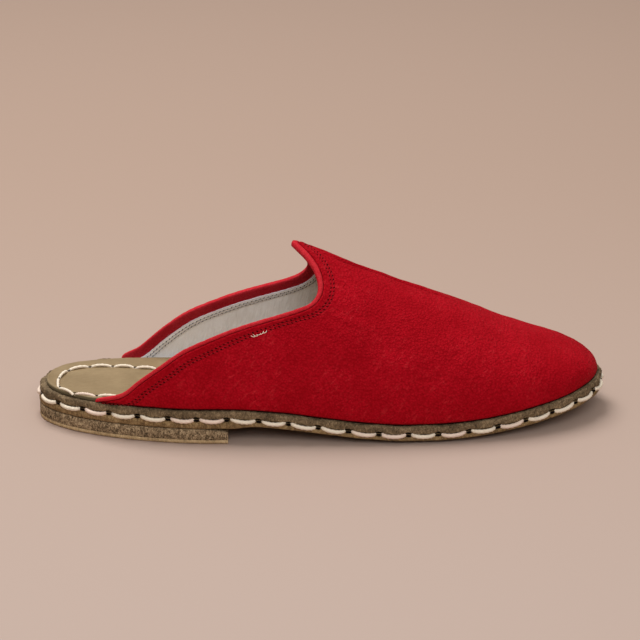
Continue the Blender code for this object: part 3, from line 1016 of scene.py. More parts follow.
class Repeat(Graph):
    """A geometry node tree that puts one small form on every place of a path."""

    def __init__(self, name: str, sizes: dict[str, float], seed: int) -> None:
        """Makes the tree's named inputs.

        Args:
            name: The tree's name.
            sizes: Its sizes by name, with their values.
            seed: The seed of its random numbers.
        """
        tree = bpy.data.node_groups.new(name, "GeometryNodeTree")
        super().__init__(tree)
        self.sizes = {**sizes}
        self.seed = seed
        tree.interface.new_socket("Geometry", in_out="INPUT", socket_type="NodeSocketGeometry")
        for key in sizes:
            tree.interface.new_socket(key, in_out="INPUT", socket_type="NodeSocketFloat")
        tree.interface.new_socket("Seed", in_out="INPUT", socket_type="NodeSocketInt")
        tree.interface.new_socket("Material", in_out="INPUT", socket_type="NodeSocketMaterial")
        tree.interface.new_socket("Geometry", in_out="OUTPUT", socket_type="NodeSocketGeometry")
        self.inputs = self.add("NodeGroupInput")

    def point(self, x: Operand, y: Operand, z: Operand) -> Value:
        """A vector from three values."""
        return self.add("ShaderNodeCombineXYZ", None, {"X": x, "Y": y, "Z": z})["Vector"]

    def turn(self, angle: Value) -> Value:
        """A rotation about Z."""
        euler = self.point(0.0, 0.0, angle)
        return self.add("FunctionNodeEulerToRotation", None, {"Euler": euler})["Rotation"]

    def chance(self, low: float, high: float, offset: int) -> Value:
        """A random number for each place."""
        inputs = {"Min": low, "Max": high, "Seed": self.inputs["Seed"] + offset}
        return self.add("FunctionNodeRandomValue", {"data_type": "FLOAT"}, inputs)["Value"]

    def place(self, form: Value, swing: float, spread: float) -> None:
        """Puts the form on the places and ends the tree.

        Args:
            form: The mesh that is repeated. Its X lies along the path and its Z points outwards.
            swing: How far each may turn about its outward axis, in degrees.
            spread: How much the size may vary, as a share.
        """
        kind = {"data_type": "FLOAT_VECTOR"}
        outward, along = (
            self.add("GeometryNodeInputNamedAttribute", kind, {"Name": name})["Attribute"]
            for name in ("outward", "along")
        )
        turned = self.add("FunctionNodeAxesToRotation", {"primary_axis": "Z", "secondary_axis": "X"},
                          {"Primary Axis": outward, "Secondary Axis": along})["Rotation"]
        swung = self.turn(self.chance(-radians(swing), radians(swing), 1))
        turned = self.add("FunctionNodeRotateRotation", {"rotation_space": "LOCAL"},
                          {"Rotation": turned, "Rotate By": swung})["Rotation"]
        size = self.chance(1.0 - spread, 1.0 + spread, 2)
        copies = self.add("GeometryNodeInstanceOnPoints", None,
                          {"Points": self.inputs["Geometry"], "Instance": form, "Rotation": turned,
                           "Scale": self.point(size, 1.0, 1.0)})["Instances"]
        tinted = self.add("GeometryNodeStoreNamedAttribute", {"data_type": "FLOAT", "domain": "INSTANCE"},
                          {"Geometry": copies, "Name": "tint", "Value": self.chance(0.0, 1.0, 3)})["Geometry"]
        real = self.add("GeometryNodeRealizeInstances", None, {"Geometry": tinted})["Geometry"]
        smooth = self.add("GeometryNodeSetShadeSmooth", None, {"Geometry": real})["Geometry"]
        dressed = self.add("GeometryNodeSetMaterial", None,
                           {"Geometry": smooth, "Material": self.inputs["Material"]})["Geometry"]
        self.add("NodeGroupOutput", None, {"Geometry": dressed})

    def make(self, bench: Bench, name: str, path: Path, finish: Finish) -> bpy.types.Object:
        """Runs the tree over a path.

        Args:
            bench: Where pieces are made.
            name: The piece's name.
            path: The places, with their directions.
            finish: The piece's finish.

        Returns:
            The repeated form as one plain mesh.
        """
        mesh = bpy.data.meshes.new(name + "_places")
        mesh.from_pydata((path.points + bench.shift).tolist(), [], [])
        for key, vectors in (("outward", path.outward), ("along", path.along)):
            layer = mesh.attributes.new(key, "FLOAT_VECTOR", "POINT")
            layer.data.foreach_set("vector", vectors.astype(np.float32).ravel())
        host = linked(name + "_places", mesh)
        modifier = host.modifiers.new("repeat", "NODES")
        modifier.node_group = self.tree
        given = {**self.sizes, "Seed": self.seed, "Material": finish.material()}
        for item in self.tree.interface.items_tree:
            if item.in_out == "INPUT" and item.name in given:
                modifier[item.identifier] = given[item.name]
        bpy.context.view_layer.update()
        graph = bpy.context.evaluated_depsgraph_get()
        made = bpy.data.meshes.new_from_object(host.evaluated_get(graph))
        made.name = name
        bpy.data.objects.remove(host)
        bpy.data.meshes.remove(mesh)
        return linked(name, made)


class Stitches(Repeat):
    """Visible strands of a running stitch: each leaves the leather, bows outwards and dives in again."""

    def __init__(self, name: str, strand: float, radius: float, proud: float, droop: float, sink: float,
                 steps: int, twists: float, seed: int, plies: int = 3, swing: float = 3.0) -> None:
        """Builds the tree.

        Args:
            name: The tree's name.
            strand: The length of one visible strand.
            radius: The thread's radius.
            proud: How far the strand's middle stands off the surface.
            droop: How far it hangs to the side of the path.
            sink: How deep its ends go.
            steps: Steps along a strand.
            twists: Turns of the plies along a strand.
            seed: The seed of the random numbers.
            plies: How many plies the thread shows.
            swing: How far a strand may turn, in degrees.
        """
        sizes = {"Strand": strand, "Radius": radius, "Proud": proud, "Droop": droop, "Sink": sink,
                 "Twists": twists}
        super().__init__(name, sizes, seed)
        given = {key: self.inputs[key] for key in sizes}
        half = given["Strand"] * 0.5
        handle = given["Strand"] * 0.36
        height = (given["Proud"] + given["Sink"] * 0.25) * 1.3333
        line = self.add("GeometryNodeCurvePrimitiveBezierSegment", {"mode": "POSITION"}, {
            "Resolution": steps,
            "Start": self.point(0.0 - half, given["Droop"] * 0.30, 0.0 - given["Sink"]),
            "Start Handle": self.point(0.0 - handle, given["Droop"] * -0.90, height),
            "End Handle": self.point(handle, given["Droop"] * -1.25, height),
            "End": self.point(half, given["Droop"] * 0.10, 0.0 - given["Sink"]),
        })["Curve"]
        factor = self.add("GeometryNodeSplineParameter")["Factor"]
        line = self.add("GeometryNodeSetCurveTilt", None,
                        {"Curve": line, "Tilt": factor * given["Twists"] * tau})["Curve"]
        swell = (factor * (1.0 - factor) * 4.0) ** 0.9
        thickness = {"Curve": line, "Radius": 0.24 + 0.76 * swell}
        line = self.add("GeometryNodeSetCurveRadius", None, thickness)["Curve"]
        ring = self.add("GeometryNodeCurveStar", None,
                        {"Points": plies, "Outer Radius": given["Radius"] * 1.04,
                         "Inner Radius": given["Radius"] * 0.90})["Curve"]
        tube = self.add("GeometryNodeCurveToMesh", None,
                        {"Curve": line, "Profile Curve": ring, "Fill Caps": True})["Mesh"]
        self.place(tube, swing, 0.04)


class Holes(Repeat):
    """Needle holes: small dark ellipsoids of painted shade that lie just over the surface."""

    def __init__(self, name: str, length: float, width: float, depth: float, seed: int,
                 turn: float = 0.0, swing: float = 8.0) -> None:
        """Builds the tree.

        Args:
            name: The tree's name.
            length: A hole's length along the path.
            width: Its width.
            depth: How far it goes in.
            seed: The seed of the random numbers.
            turn: How far its length is turned from the path, in degrees.
            swing: How far a hole may turn besides, in degrees.
        """
        sizes = {"Length": length, "Width": width, "Depth": depth, "Turn": radians(turn)}
        super().__init__(name, sizes, seed)
        given = {key: self.inputs[key] for key in sizes}
        ball = self.add("GeometryNodeMeshUVSphere", None, {"Segments": 8, "Rings": 4, "Radius": 0.5})["Mesh"]
        shaped = self.add("GeometryNodeTransform", None, {
            "Geometry": ball,
            "Scale": self.point(given["Length"], given["Width"], given["Depth"]),
            "Rotation": self.turn(given["Turn"]),
        })["Geometry"]
        self.place(shaped, swing, 0.12)


# The sole


@dataclass
class Rim:
    """A sole layer's outline as a closed loop, from the back of the heel along the outer side.

    Places on the two sides come in pairs at the same stations, so that faces can run across.
    """

    footprint: Footprint
    sections: int = 560
    front: Optional[float] = None
    inset: float = 0.0
    x: Array = None
    y: Array = None
    normal: Array = None
    path: Array = None
    perimeter: float = 0.0

    def __post_init__(self) -> None:
        """Works out the loop."""
        fine = 6000
        end = self.footprint.length - self.inset if self.front is None else self.front
        turn = np.linspace(0.0, pi, fine) if self.front is None else np.linspace(0.0, pi / 2, fine)
        spread = (1 - np.cos(turn)) / (2 if self.front is None else 1)
        dense = self.inset + (end - self.inset) * spread
        edge = self.footprint.edge(Side.LATERAL, dense, self.inset)
        lengths = np.concatenate([[0.0], np.cumsum(np.hypot(np.diff(dense), np.diff(edge)))])
        stations = np.interp(np.linspace(0.0, lengths[-1], self.sections + 1), lengths, dense)
        lateral = self.footprint.edge(Side.LATERAL, stations, self.inset)
        medial = self.footprint.edge(Side.MEDIAL, stations, self.inset)
        last = -1 if self.front is None else None
        self.x = np.concatenate([stations, stations[1:last][::-1]])
        self.y = np.concatenate([lateral, medial[1:last][::-1]])
        points = np.column_stack([self.x, self.y])
        ahead, behind = np.roll(points, -1, axis=0), np.roll(points, 1, axis=0)
        tangent = unit(ahead - behind)
        self.normal = np.column_stack([tangent[:, 1], -tangent[:, 0]])
        if self.front is not None:
            self._square_corners()
        steps = np.linalg.norm(ahead - points, axis=1)
        self.path = np.concatenate([[0.0], np.cumsum(steps)[:-1]])
        self.perimeter = float(steps.sum())

    def _square_corners(self) -> None:
        """Lets the corners of a straight front move out along the sides only."""
        for corner, side in ((self.sections, Side.LATERAL), (self.sections + 1, Side.MEDIAL)):
            self.normal[corner] = (0.0, side.value)

    def pairs(self) -> list[tuple[int, int]]:
        """Indices of the outer and inner side at each station, from heel to toe."""
        count = len(self.x)
        return [(i, (count - i) % count) for i in range(self.sections + 1)]

    def ring(self, offset: Array, height: Array) -> Array:
        """The loop moved outwards by an offset and lifted to a height."""
        offset = np.broadcast_to(offset, self.x.shape)
        height = np.broadcast_to(height, self.x.shape)
        x = self.x + self.normal[:, 0] * offset
        y = self.y + self.normal[:, 1] * offset
        return np.column_stack([x, y, height])

    def route(self, offset: float, height: Callable[[Array], Array]) -> Path:
        """The loop as a path, closed by its first point."""
        points = self.ring(offset, height(self.x))
        outward = np.column_stack([self.normal, np.zeros(len(self.x))])
        return Path(np.vstack([points, points[:1]]), np.vstack([outward, outward[:1]]))

    def near(self, places: Array, width: float) -> Array:
        """1 at the given places along the loop and falling to 0 within about the width."""
        gap = np.abs(self.path[:, None] - places[None, :])
        gap = np.minimum(gap, self.perimeter - gap)
        return np.exp(-((gap / width) ** 2)).max(axis=1)


@dataclass
class SoleUnit:
    """Midsole, outsole and heel, sewn together by hand along their edge."""

    last: Last
    bench: Bench
    stitch_pitch: float = 14.55 * MM
    stitch_x: float = 93.2 * MM
    strand: float = 10.7 * MM
    thread: float = 1.05 * MM
    jitter: float = 0.45 * MM
    stitch_seed: int = 11
    step: float = 0.6 * MM
    close: float = 0.13 * MM
    foot_bevel: float = 0.55 * MM
    gape: float = 1.5 * MM
    gape_length: float = 14.0 * MM
    rim: Rim = None
    holes: Array = None

    def __post_init__(self) -> None:
        """Places the needle holes evenly, so that one of them is at its known station."""
        self.rim = Rim(self.last)
        count = round(self.rim.perimeter / self.stitch_pitch)
        pitch = self.rim.perimeter / count
        outer = self.rim.x[: self.rim.sections]
        known = np.interp(self.stitch_x, outer, self.rim.path[: self.rim.sections])
        chance = np.random.default_rng(self.stitch_seed)
        self.holes = np.mod(known + pitch * np.arange(count), self.rim.perimeter)
        self.holes = np.sort(self.holes) + chance.uniform(-self.jitter, self.jitter, count)

    def _layer(self, name: str, rim: Rim, rings: Sequence[tuple[Array, Array]], finish: Finish,
               pits: Optional[Sequence[Array]] = None) -> bpy.types.Object:
        """Makes a sole layer from rings.

        Args:
            name: The piece's name.
            rim: Its outline.
            rings: Offset and height of each ring, from the lower face round the edge to the upper face.
            finish: Its finish.
            pits: How dark each ring is, point by point.

        Returns:
            The object.
        """
        count = len(rim.x)
        points = [rim.ring(offset, height) for offset, height in rings]
        dark = [np.zeros(count) for _ in rings] if pits is None else list(pits)
        faces = grid_faces(len(rings), count, closed=True)
        for ring in (0, len(rings) - 1):
            rows = [(ring * count + lateral, ring * count + medial) for lateral, medial in rim.pairs()]
            faces += [(low[0], high[0], high[1], low[1]) for low, high in zip(rows, rows[1:])]
        return self.bench.piece(name, np.vstack(points), faces, finish, {"pit": np.concatenate(dark)}, 50.0)

    def midsole(self) -> None:
        """The middle layer, whose upper border waves between the stitches."""
        rim, last = self.rim, self.last
        x, path = rim.x, rim.path
        bottom = last.underside(x) + last.outsole + last.gap
        thick = last.midsole
        hole = rim.near(self.holes, 1.7 * MM)
        pull = rim.near(self.holes, 3.2 * MM)
        wave = 0.34 * MM * ripple(path, 17 * MM, 21) + 0.20 * MM * ripple(path, 5 * MM, 22)
        fray = 0.20 * MM * ripple(path, 3.1 * MM, 23) + 0.24 * MM * ripple(path, 13 * MM, 24)
        top = bottom + thick + wave - 0.30 * MM * pull
        step = -0.35 * MM - 0.25 * MM * pull + fray
        rings = [
            (-9.0 * MM, bottom),
            (-2.6 * MM, bottom),
            (step - 0.6 * MM - 1.3 * MM * hole, bottom + 0.05 * MM),
            (step - 0.15 * MM - 1.5 * MM * hole, bottom + 0.35 * MM + 0.35 * MM * hole),
            (step + 0.05 * MM - 0.8 * MM * hole, bottom + 0.9 * MM + 0.25 * MM * hole),
            (step + 0.10 * MM, bottom + 1.6 * MM),
            (step + 0.12 * MM, bottom + 0.55 * thick),
            (step + 0.02 * MM + 0.5 * fray, bottom + 0.78 * thick + 0.4 * wave),
            (step - 0.25 * MM, top - 0.28 * MM),
            (step - 0.65 * MM, top),
            (step - 1.3 * MM, top + 0.05 * MM * ripple(path, 2.3 * MM, 25)),
            (-3.0 * MM, bottom + thick + 0.4 * wave),
            (-5.0 * MM, bottom + thick),
            (-9.0 * MM, bottom + thick),
        ]
        none = np.zeros(len(x))
        # Painted shade: the pit values darken the notches at the needle holes and the midsole's top under the
        # upper's edge, less at the heel.
        painted_shade_under_upper = np.where(x < 45 * MM, 0.42 + 0.2 * ripple(path, 9 * MM, 26), 0.85)
        pits = [none, none, hole, hole, hole * 0.6, none, none, none, none, none, none, painted_shade_under_upper, none, none]
        thing = self._layer("midsole_edge", rim, rings, MIDSOLE_HIDE, pits)
        self.bench.finished(thing, "midsole_leather", "midsole")

    def outsole(self) -> None:
        """The walking layer, a little smoother and lighter than the midsole."""
        rim, last = self.rim, self.last
        x, path = rim.x, rim.path
        bottom = last.underside(x)
        thick = last.outsole
        hole = rim.near(self.holes, 1.6 * MM)
        fray = 0.10 * MM * ripple(path, 4.0 * MM, 31) + 0.16 * MM * ripple(path, 19 * MM, 32)
        worn = smoothstep((x - last.heel_length - 2 * MM) / (14 * MM))
        rings = [
            (-16.0 * MM, bottom),
            (-1.6 * MM - 7.4 * MM * worn, bottom + 0.75 * MM * worn),
            (fray - 0.75 * MM - 3.1 * MM * worn, bottom + 0.08 * MM + 1.17 * MM * worn),
            (fray - 0.25 * MM - 1.1 * MM * worn, bottom + 0.38 * MM + 1.17 * MM * worn),
            (fray - 0.20 * MM * worn, bottom + 1.1 * MM + 0.80 * MM * worn),
            (fray + 0.03 * MM, bottom + 0.55 * thick),
            (fray - 0.15 * MM * hole, bottom + 0.72 * thick),
            (fray - 0.12 * MM - 0.9 * MM * hole, bottom + thick - 0.45 * MM - 0.2 * MM * hole),
            (fray - 0.55 * MM - 1.2 * MM * hole, bottom + thick - 0.08 * MM - 0.2 * MM * hole),
            (-2.6 * MM, bottom + thick),
            (-9.0 * MM, bottom + thick),
        ]
        none = np.zeros(len(x))
        # Painted shade: the pit values darken the edge at each needle hole, just under the joint.
        pits = [none, none, none, none, none, none, none, hole * 0.55, hole, none, none]
        thing = self._layer("outsole_edge", rim, rings, OUTSOLE_HIDE, pits)
        self.bench.finished(thing, "outsole_leather", "outsole")

    def heel(self) -> None:
        """The heel block under the outsole and its thin walking piece."""
        last = self.last
        low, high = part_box("heel_block")
        tread_low, tread_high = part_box("heel_top_piece")
        for name, finish, slot, node, bottom, top, seed in (
            ("heel_block_edge", HEEL_HIDE, "heel_leather", "heel_block", low.z, high.z, 41),
            ("heel_tread", TREAD_HIDE, "heel_wear_layer", "heel_top_piece", tread_low.z, tread_high.z, 45),
        ):
            rim = Rim(last, sections=230, front=last.heel_length)
            fray = 0.10 * MM * ripple(rim.path, 3.6 * MM, seed) - 0.15 * MM
            edge = 0.12 * MM
            level = np.full(len(rim.x), bottom - self.close * (node == "heel_block"))
            upper = np.full(len(rim.x), top + self.close)
            if node == "heel_block":
                upper -= self.gape * smoothstep((rim.x - last.heel_length + self.gape_length) / self.gape_length)
            foot = self.foot_bevel if node == "heel_top_piece" else edge
            rings = [
                (fray - 1.6 * foot, level),
                (fray - 0.5 * foot, level + 0.55 * foot),
                (fray, level + 1.2 * foot),
                (fray + 0.05 * MM, (level + upper) / 2 + 0.3 * foot),
                (fray, upper - edge),
                (fray - 0.08 * MM, upper - 0.4 * edge),
                (fray - edge, upper),
            ]
            thing = self._layer(name, rim, rings, finish)
            self.bench.finished(thing, slot, node)

    def thread_run(self) -> None:
        """The saddle stitches along the joint, strand by strand."""
        route = self.rim.route(-0.25 * MM, self.last.joint)
        after = np.append(self.holes[1:], self.holes[0] + self.rim.perimeter)
        middle = np.mod((self.holes + after) / 2, self.rim.perimeter)
        places = route.read(middle)
        stitches = Stitches("sole_stitches", self.strand, self.thread, 0.60 * MM, 0.60 * MM, 1.1 * MM,
                            plies=4, steps=22, twists=1.5, seed=5)
        thing = stitches.make(self.bench, "sole_stitches", places, SOLE_THREAD)
        self.bench.finished(thing, "sole_thread")
        punched = Holes("sole_holes", 2.8 * MM, 1.25 * MM, 0.50 * MM, swing=6.0, seed=6)
        pierced = route.read(np.mod(self.holes, self.rim.perimeter))
        thing = punched.make(self.bench, "sole_holes", pierced, DARK_HOLE)
        self.bench.finished(thing, "outsole_leather")

    def build(self) -> None:
        """Makes every layer and its sewing."""
        self.midsole()
        self.outsole()
        self.heel()
        self.thread_run()


@dataclass(frozen=True)
class Spot:
    """A place on the footbed, in the shoe's frame."""

    x: float
    y: float


@dataclass
class Footbed:
    """The insole: smooth leather sewn to the midsole by a row of its own."""

    last: Last
    bench: Bench
    pitch: float = 11.4 * MM
    strand: float = 10.4 * MM
    thread: float = 0.78 * MM
    dish: float = 0.5 * MM
    across: int = 44
    row: tuple[Spot, ...] = (
        Spot(0.205, 0.026), Spot(0.170, 0.0215), Spot(0.135, 0.0165), Spot(0.095, 0.0110),
        Spot(0.060, 0.0108), Spot(0.0400, 0.0140), Spot(0.0270, 0.0143), Spot(0.0155, 0.0105),
        Spot(0.0110, 0.0025), Spot(0.0098, -0.0050), Spot(0.0113, -0.0130), Spot(0.0165, -0.0190),
        Spot(0.0250, -0.0230), Spot(0.0360, -0.0247), Spot(0.060, -0.0262), Spot(0.095, -0.0275),
        Spot(0.135, -0.0280), Spot(0.170, -0.0290), Spot(0.205, -0.0270),
    )

    def top(self, x: Array) -> Array:
        """Height of the footbed's upper face at its edge."""
        return self.last.feather(x) + self.last.insole

    def seam(self) -> Path:
        """The stitch row as a smooth path on the upper face."""
        index = np.arange(len(self.row))
        fine = np.linspace(0, len(self.row) - 1, 900)
        x = through(index, [spot.x for spot in self.row], fine)
        y = through(index, [spot.y for spot in self.row], fine)
        points = np.column_stack([x, y, self.top(x)])
        return Path(points, np.tile([0.0, 0.0, 1.0], (len(x), 1)))

    def build(self) -> None:
        """Makes the insole, its stitches and their holes."""
        last = self.last
        rim = Rim(last, sections=300)
        x = rim.x
        outer_side = MM * np.interp(x / MM, [0, 8, 25, 32, 48], [3.6, 2.2, 1.6, 2.4, 5.3])
        inner_side = MM * np.interp(x / MM, [0, 10, 20, 30, 46], [3.6, 4.0, 5.6, 6.4, 5.7])
        inset = np.where(rim.y < 0, outer_side, inner_side) + 0.10 * MM * ripple(rim.path, 12 * MM, 51)
        base = last.feather(x)
        top = self.top(x)
        none = np.zeros(len(x))
        edge = 0.55 * MM
        rings = [
            (-inset - edge, base),
            (-inset, base + 0.3 * MM),
            (-inset, top - 0.75 * MM),
            (-inset - 0.15 * MM, top - 0.30 * MM),
            (-inset - edge, top - 0.05 * MM),
            (-inset - 1.3 * MM, top),
        ]
        pits = [none + 1.0, none + 1.0, none + 1.0, none + 0.6, none + 0.25, none]
        thing = self._sheet("footbed", rim, rings, pits)
        self.bench.finished(thing, "insole_leather", "insole")
        seam = self.seam()
        places = seam.spaced(self.pitch, 0.5)
        strands = Stitches("footbed_stitches", self.strand, self.thread, 0.42 * MM, 0.18 * MM, 0.9 * MM,
                           steps=16, twists=1.8, swing=2.5, seed=7)
        sewn = strands.make(self.bench, "footbed_stitches", places, SOLE_THREAD)
        self.bench.finished(sewn, "sole_thread")
        holes = Holes("footbed_holes", 2.1 * MM, 1.0 * MM, 0.35 * MM, seed=8)
        dark = holes.make(self.bench, "footbed_holes", seam.spaced(self.pitch, 0.0), DARK_HOLE)
        self.bench.finished(dark, "insole_leather")

    def _sheet(self, name: str, rim: Rim, rings: Sequence[tuple[Array, Array]],
               pits: Sequence[Array]) -> bpy.types.Object:
        """Makes the insole's solid, dished and drawn down along the stitch row.

        Args:
            name: The piece's name.
            rim: The sole's outline.
            rings: Offset and height of each ring, from the lower face round the edge to the upper face.
            pits: How dark each ring is.

        Returns:
            The object.
        """
        count = len(rim.x)
        points = [rim.ring(offset, height) for offset, height in rings]
        dark = list(pits)
        faces = grid_faces(len(rings), count, closed=True)
        total = len(rings) * count
        tree = search_tree((point[0], point[1], 0.0) for point in self.seam().points)
        for ring, lifted in ((0, False), (len(rings) - 1, True)):
            base = points[ring]
            rows = []
            for lateral, medial in rim.pairs():
                row = [ring * count + lateral]
                for part in range(1, self.across):
                    share = part / self.across
                    point = base[lateral] * (1 - share) + base[medial] * share
                    if lifted:
                        gap = tree.find((point[0], point[1], 0.0))[2]
                        width = abs(base[lateral][1] - base[medial][1])
                        room = min(1.0, width / (20 * MM))
                        point[2] -= self.dish * room * (1 - (2 * share - 1) ** 2)
                        point[2] -= 0.28 * MM * np.exp(-((gap / (1.3 * MM)) ** 2))
                    points.append(point[None, :])
                    dark.append(np.zeros(1))
                    row.append(total)
                    total += 1
                row.append(ring * count + medial)
                rows.append(row)
            for low, high in zip(rows, rows[1:]):
                for part in range(self.across):
                    faces.append((low[part], high[part], high[part + 1], low[part + 1]))
        marks = {"pit": np.concatenate(dark)}
        return self.bench.piece(name, np.vstack(points), faces, FOOTBED_HIDE, marks, 50.0)


# The upper


@dataclass(frozen=True)
class Crease:
    """A soft trough or ridge between two places on the last, each a station and a height share."""

    side: Side
    start: tuple[float, float]
    end: tuple[float, float]
    width: float
    depth: float


@dataclass
class UpperUnit:
    """The upper: outer leather, rolled collar, lining and the seam that holds them together."""

    last: Last
    bench: Bench
    leather: float = 1.2 * MM
    bead: float = 1.9 * MM
    bead_proud: float = 0.30 * MM
    groove: float = 0.14 * MM
    facing_near: float = -1.45 * MM
    facing_far: float = -2.75 * MM
    facing_depth: float = 6.0 * MM
    facing_painted_shade_distance: float = 1.02 * MM
    lining_from: float = 4.9 * MM
    lining_top: float = 0.75 * MM
    lining_far: float = -2.5 * MM
    seam_rows: tuple[float, float] = (6.3 * MM, 7.9 * MM)
    seam_pitch: float = 2.15 * MM
    seam_drawn: float = 2.1 * MM
    bead_growth: float = 0.5
    tack_x: float = 108.6 * MM
    rows: int = 84
    vamp_steps: int = 110
    rim_sink: float = 0.45 * MM
    rim_ridge: float = 0.30 * MM
    seam_sink: float = 0.22 * MM
    foot_sink: float = 0.45 * MM
    foot_bulge: float = 0.25 * MM
    lean: float = 0.72
    edge_weight: float = 1.5
    edge_steps: int = 2401
    dip: float = 1.4 * MM
    dip_at: float = 0.848
    dip_width: float = 0.060
    fold_depth: float = 0.75 * MM
    fold_line: tuple[tuple[float, float], ...] = (
        (0.480, -5.6), (0.514, -3.6), (0.531, -2.4), (0.549, -1.7), (0.567, -1.0), (0.584, -0.3),
        (0.602, 0.6), (0.620, 1.2), (0.637, 1.5), (0.655, 1.6), (0.672, 1.7), (0.740, 1.9),
    )
    collar: CollarLine = None
    edge_tree: kdtree.KDTree = None
    creases: tuple[Crease, ...] = (
        Crease(Side.LATERAL, (0.500, 0.640), (0.560, 0.560), 2.6 * MM, -0.30 * MM),
        Crease(Side.LATERAL, (0.498, 0.690), (0.590, 0.640), 2.8 * MM, -0.28 * MM),
        Crease(Side.LATERAL, (0.478, 0.600), (0.540, 0.470), 3.4 * MM, -0.30 * MM),
        Crease(Side.LATERAL, (0.440, 0.540), (0.470, 0.400), 4.0 * MM, -0.28 * MM),
        Crease(Side.LATERAL, (0.560, 0.500), (0.660, 0.470), 5.0 * MM, -0.30 * MM),
        Crease(Side.LATERAL, (0.600, 0.330), (0.690, 0.300), 6.0 * MM, -0.32 * MM),
        Crease(Side.LATERAL, (0.700, 0.430), (0.770, 0.360), 5.0 * MM, -0.25 * MM),
        Crease(Side.MEDIAL, (0.485, 0.640), (0.560, 0.540), 3.2 * MM, -0.30 * MM),
        Crease(Side.MEDIAL, (0.560, 0.500), (0.680, 0.450), 5.5 * MM, -0.32 * MM),
        Crease(Side.MEDIAL, (0.640, 0.300), (0.730, 0.260), 6.0 * MM, -0.30 * MM),
    )

    def __post_init__(self) -> None:
        """Works out the collar and a search tree of its points."""
        self.collar = CollarLine(self.last)
        steps = np.linspace(0, len(self.collar.points) - 1, self.edge_steps)
        whole = np.arange(len(self.collar.points))
        dense = np.column_stack([np.interp(steps, whole, self.collar.points[:, axis]) for axis in range(3)])
        self.edge_tree = search_tree(dense)

    def columns(self, distance: float | Array) -> dict[Side, tuple[Array, Array, Array]]:
        """Section lines that start at one distance inside the collar.

        Args:
            distance: How far from the collar's edge they start.

        Returns:
            For each side the roots, the top stations and the shares of the section at the top.
        """
        x, climb = self.collar.inside(distance)
        peak = self.collar.peak
        tip = self.last.toe_tip
        made = {}
        for side in Side:
            part = slice(0, peak + 1) if side is Side.LATERAL else slice(None, peak - 1, -1)
            tops, climbs, roots = x[part], climb[part], self.collar.roots[part]
            share = self.last.share_at_climb(side, tops, climbs)
            left = (1 - np.arange(1, self.vamp_steps) / self.vamp_steps) ** 1.5
            roots = np.concatenate([roots, tip - (tip - roots[-1]) * left])
            share = np.concatenate([share, np.ones(len(left))])
            tops = np.concatenate([tops, tip - (tip - tops[-1]) * left])
            made[side] = (roots, tops, share)
        return made

    def grid(self, side: Side, columns: tuple[Array, Array, Array], rows: int) -> tuple[Array, Array]:
        """Stations and climbs of a grid from the sole up each column.

        Args:
            side: The side of the foot.
            columns: Roots, top stations and top shares.
            rows: How many rows the grid has.

        Returns:
            Stations and climbs, a row of values for each column.
        """
        roots, tops, shares = columns
        part = 1 - (1 - np.linspace(0.0, 1.0, rows)) ** self.edge_weight
        x = tops[:, None] + (roots - tops)[:, None] * (1 - part[None, :]) ** self.lean
        share = shares[:, None] * part[None, :]
        climb = self.last.climb_at_share(side, x.ravel(), share.ravel()).reshape(x.shape)
        climb[:, -1] = np.where(shares >= 1.0, 2.0, climb[:, -1])
        return x, climb

    def drawn(self, away: Array) -> Array:
        """How much closer to the edge the seam runs, just under the throat."""
        return self.seam_drawn * np.exp(-(((away - 0.45) / 0.11) ** 2))

    def bead_scale(self, away: Array) -> Array:
        """How much wider the rolled edge is, round the tongue."""
        return 1 + self.bead_growth * (1 - smoothstep((away - 0.10) / 0.28))

    def nearest(self, points: Array) -> tuple[Array, Array]:
        """Distances to the collar's edge, and how far from the peak along it, from 0 to 1."""
        found = [self.edge_tree.find(point)[1:] for point in points.reshape(-1, 3)]
        index, gap = (np.array(values, float).reshape(points.shape[:-1]) for values in zip(*found))
        return gap, np.abs(index / (self.edge_steps - 1) * 2 - 1)

    def inside_height(self, side: Side, x: Array, climb: Array, points: Array) -> Array:
        """How far the lining's inner face is off the last, for the same arguments as relief."""
        gap = self.nearest(points)[0]
        over = 1 - smoothstep((gap - self.facing_depth - 0.5 * MM) / (3.0 * MM))
        top_far = self.facing_far - self.lining_top - 0.08 * MM
        wrinkle = 0.10 * MM * ripple(points * np.array([1.0, 1.0, 0.25]), 6 * MM, 71)
        rows = (self.seam_rows[0] + self.seam_rows[1]) / 2
        pinch = 0.18 * MM * np.exp(-(((gap - rows) / (1.3 * MM)) ** 2))
        return self.lining_far * (1 - over) + top_far * over + wrinkle + pinch

    def relief(self, side: Side, x: Array, climb: Array, points: Array) -> Array:
        """How far the outer leather stands off the last.

        Args:
            side: The side of the foot.
            x: Stations of the points.
            climb: Climbs of the points.
            points: The points themselves.

        Returns:
            Heights off the last.
        """
        last = self.last
        gap, away = self.nearest(points)
        near, far = self.seam_rows
        rim = (self.bead + self.groove) * self.bead_scale(away)
        edge = gap
        gap = gap + self.drawn(away)
        height = -self.rim_sink * (1 - smoothstep((edge - rim + 0.1 * MM) / (0.6 * MM)))
        height += self.rim_ridge * np.exp(-(((edge - rim - 1.0 * MM) / (0.75 * MM)) ** 2))
        before_seam = 1 - smoothstep((gap - near + 0.9 * MM) / (0.8 * MM))
        height += 0.10 * MM * smoothstep((edge - rim) / (0.9 * MM)) * before_seam
        seam = np.exp(-(((gap - (near + far) / 2) / (1.5 * MM)) ** 2))
        height -= self.seam_sink * seam
        outside = smoothstep((gap - far) / (5 * MM))
        height += 0.20 * MM * outside * ripple(points, 26 * MM, 61)
        height += 0.07 * MM * outside * ripple(points, 9 * MM, 62)
        pucker = np.exp(-(((gap - far - 2.0 * MM) / (2.2 * MM)) ** 2))
        height += 0.06 * MM * pucker * ripple(points, 4.0 * MM, 63)
        over = (points[..., 2] - last.feather(x)) / last.instep_height
        for crease in self.creases:
            if crease.side is side:
                height += crease.depth * self._crease(crease, x / last.length, over)
        height -= self.toe_dip(x, climb)
        beside, span = self.fold(x, climb, points)
        trough = np.exp(-((beside / (0.9 * MM)) ** 2))
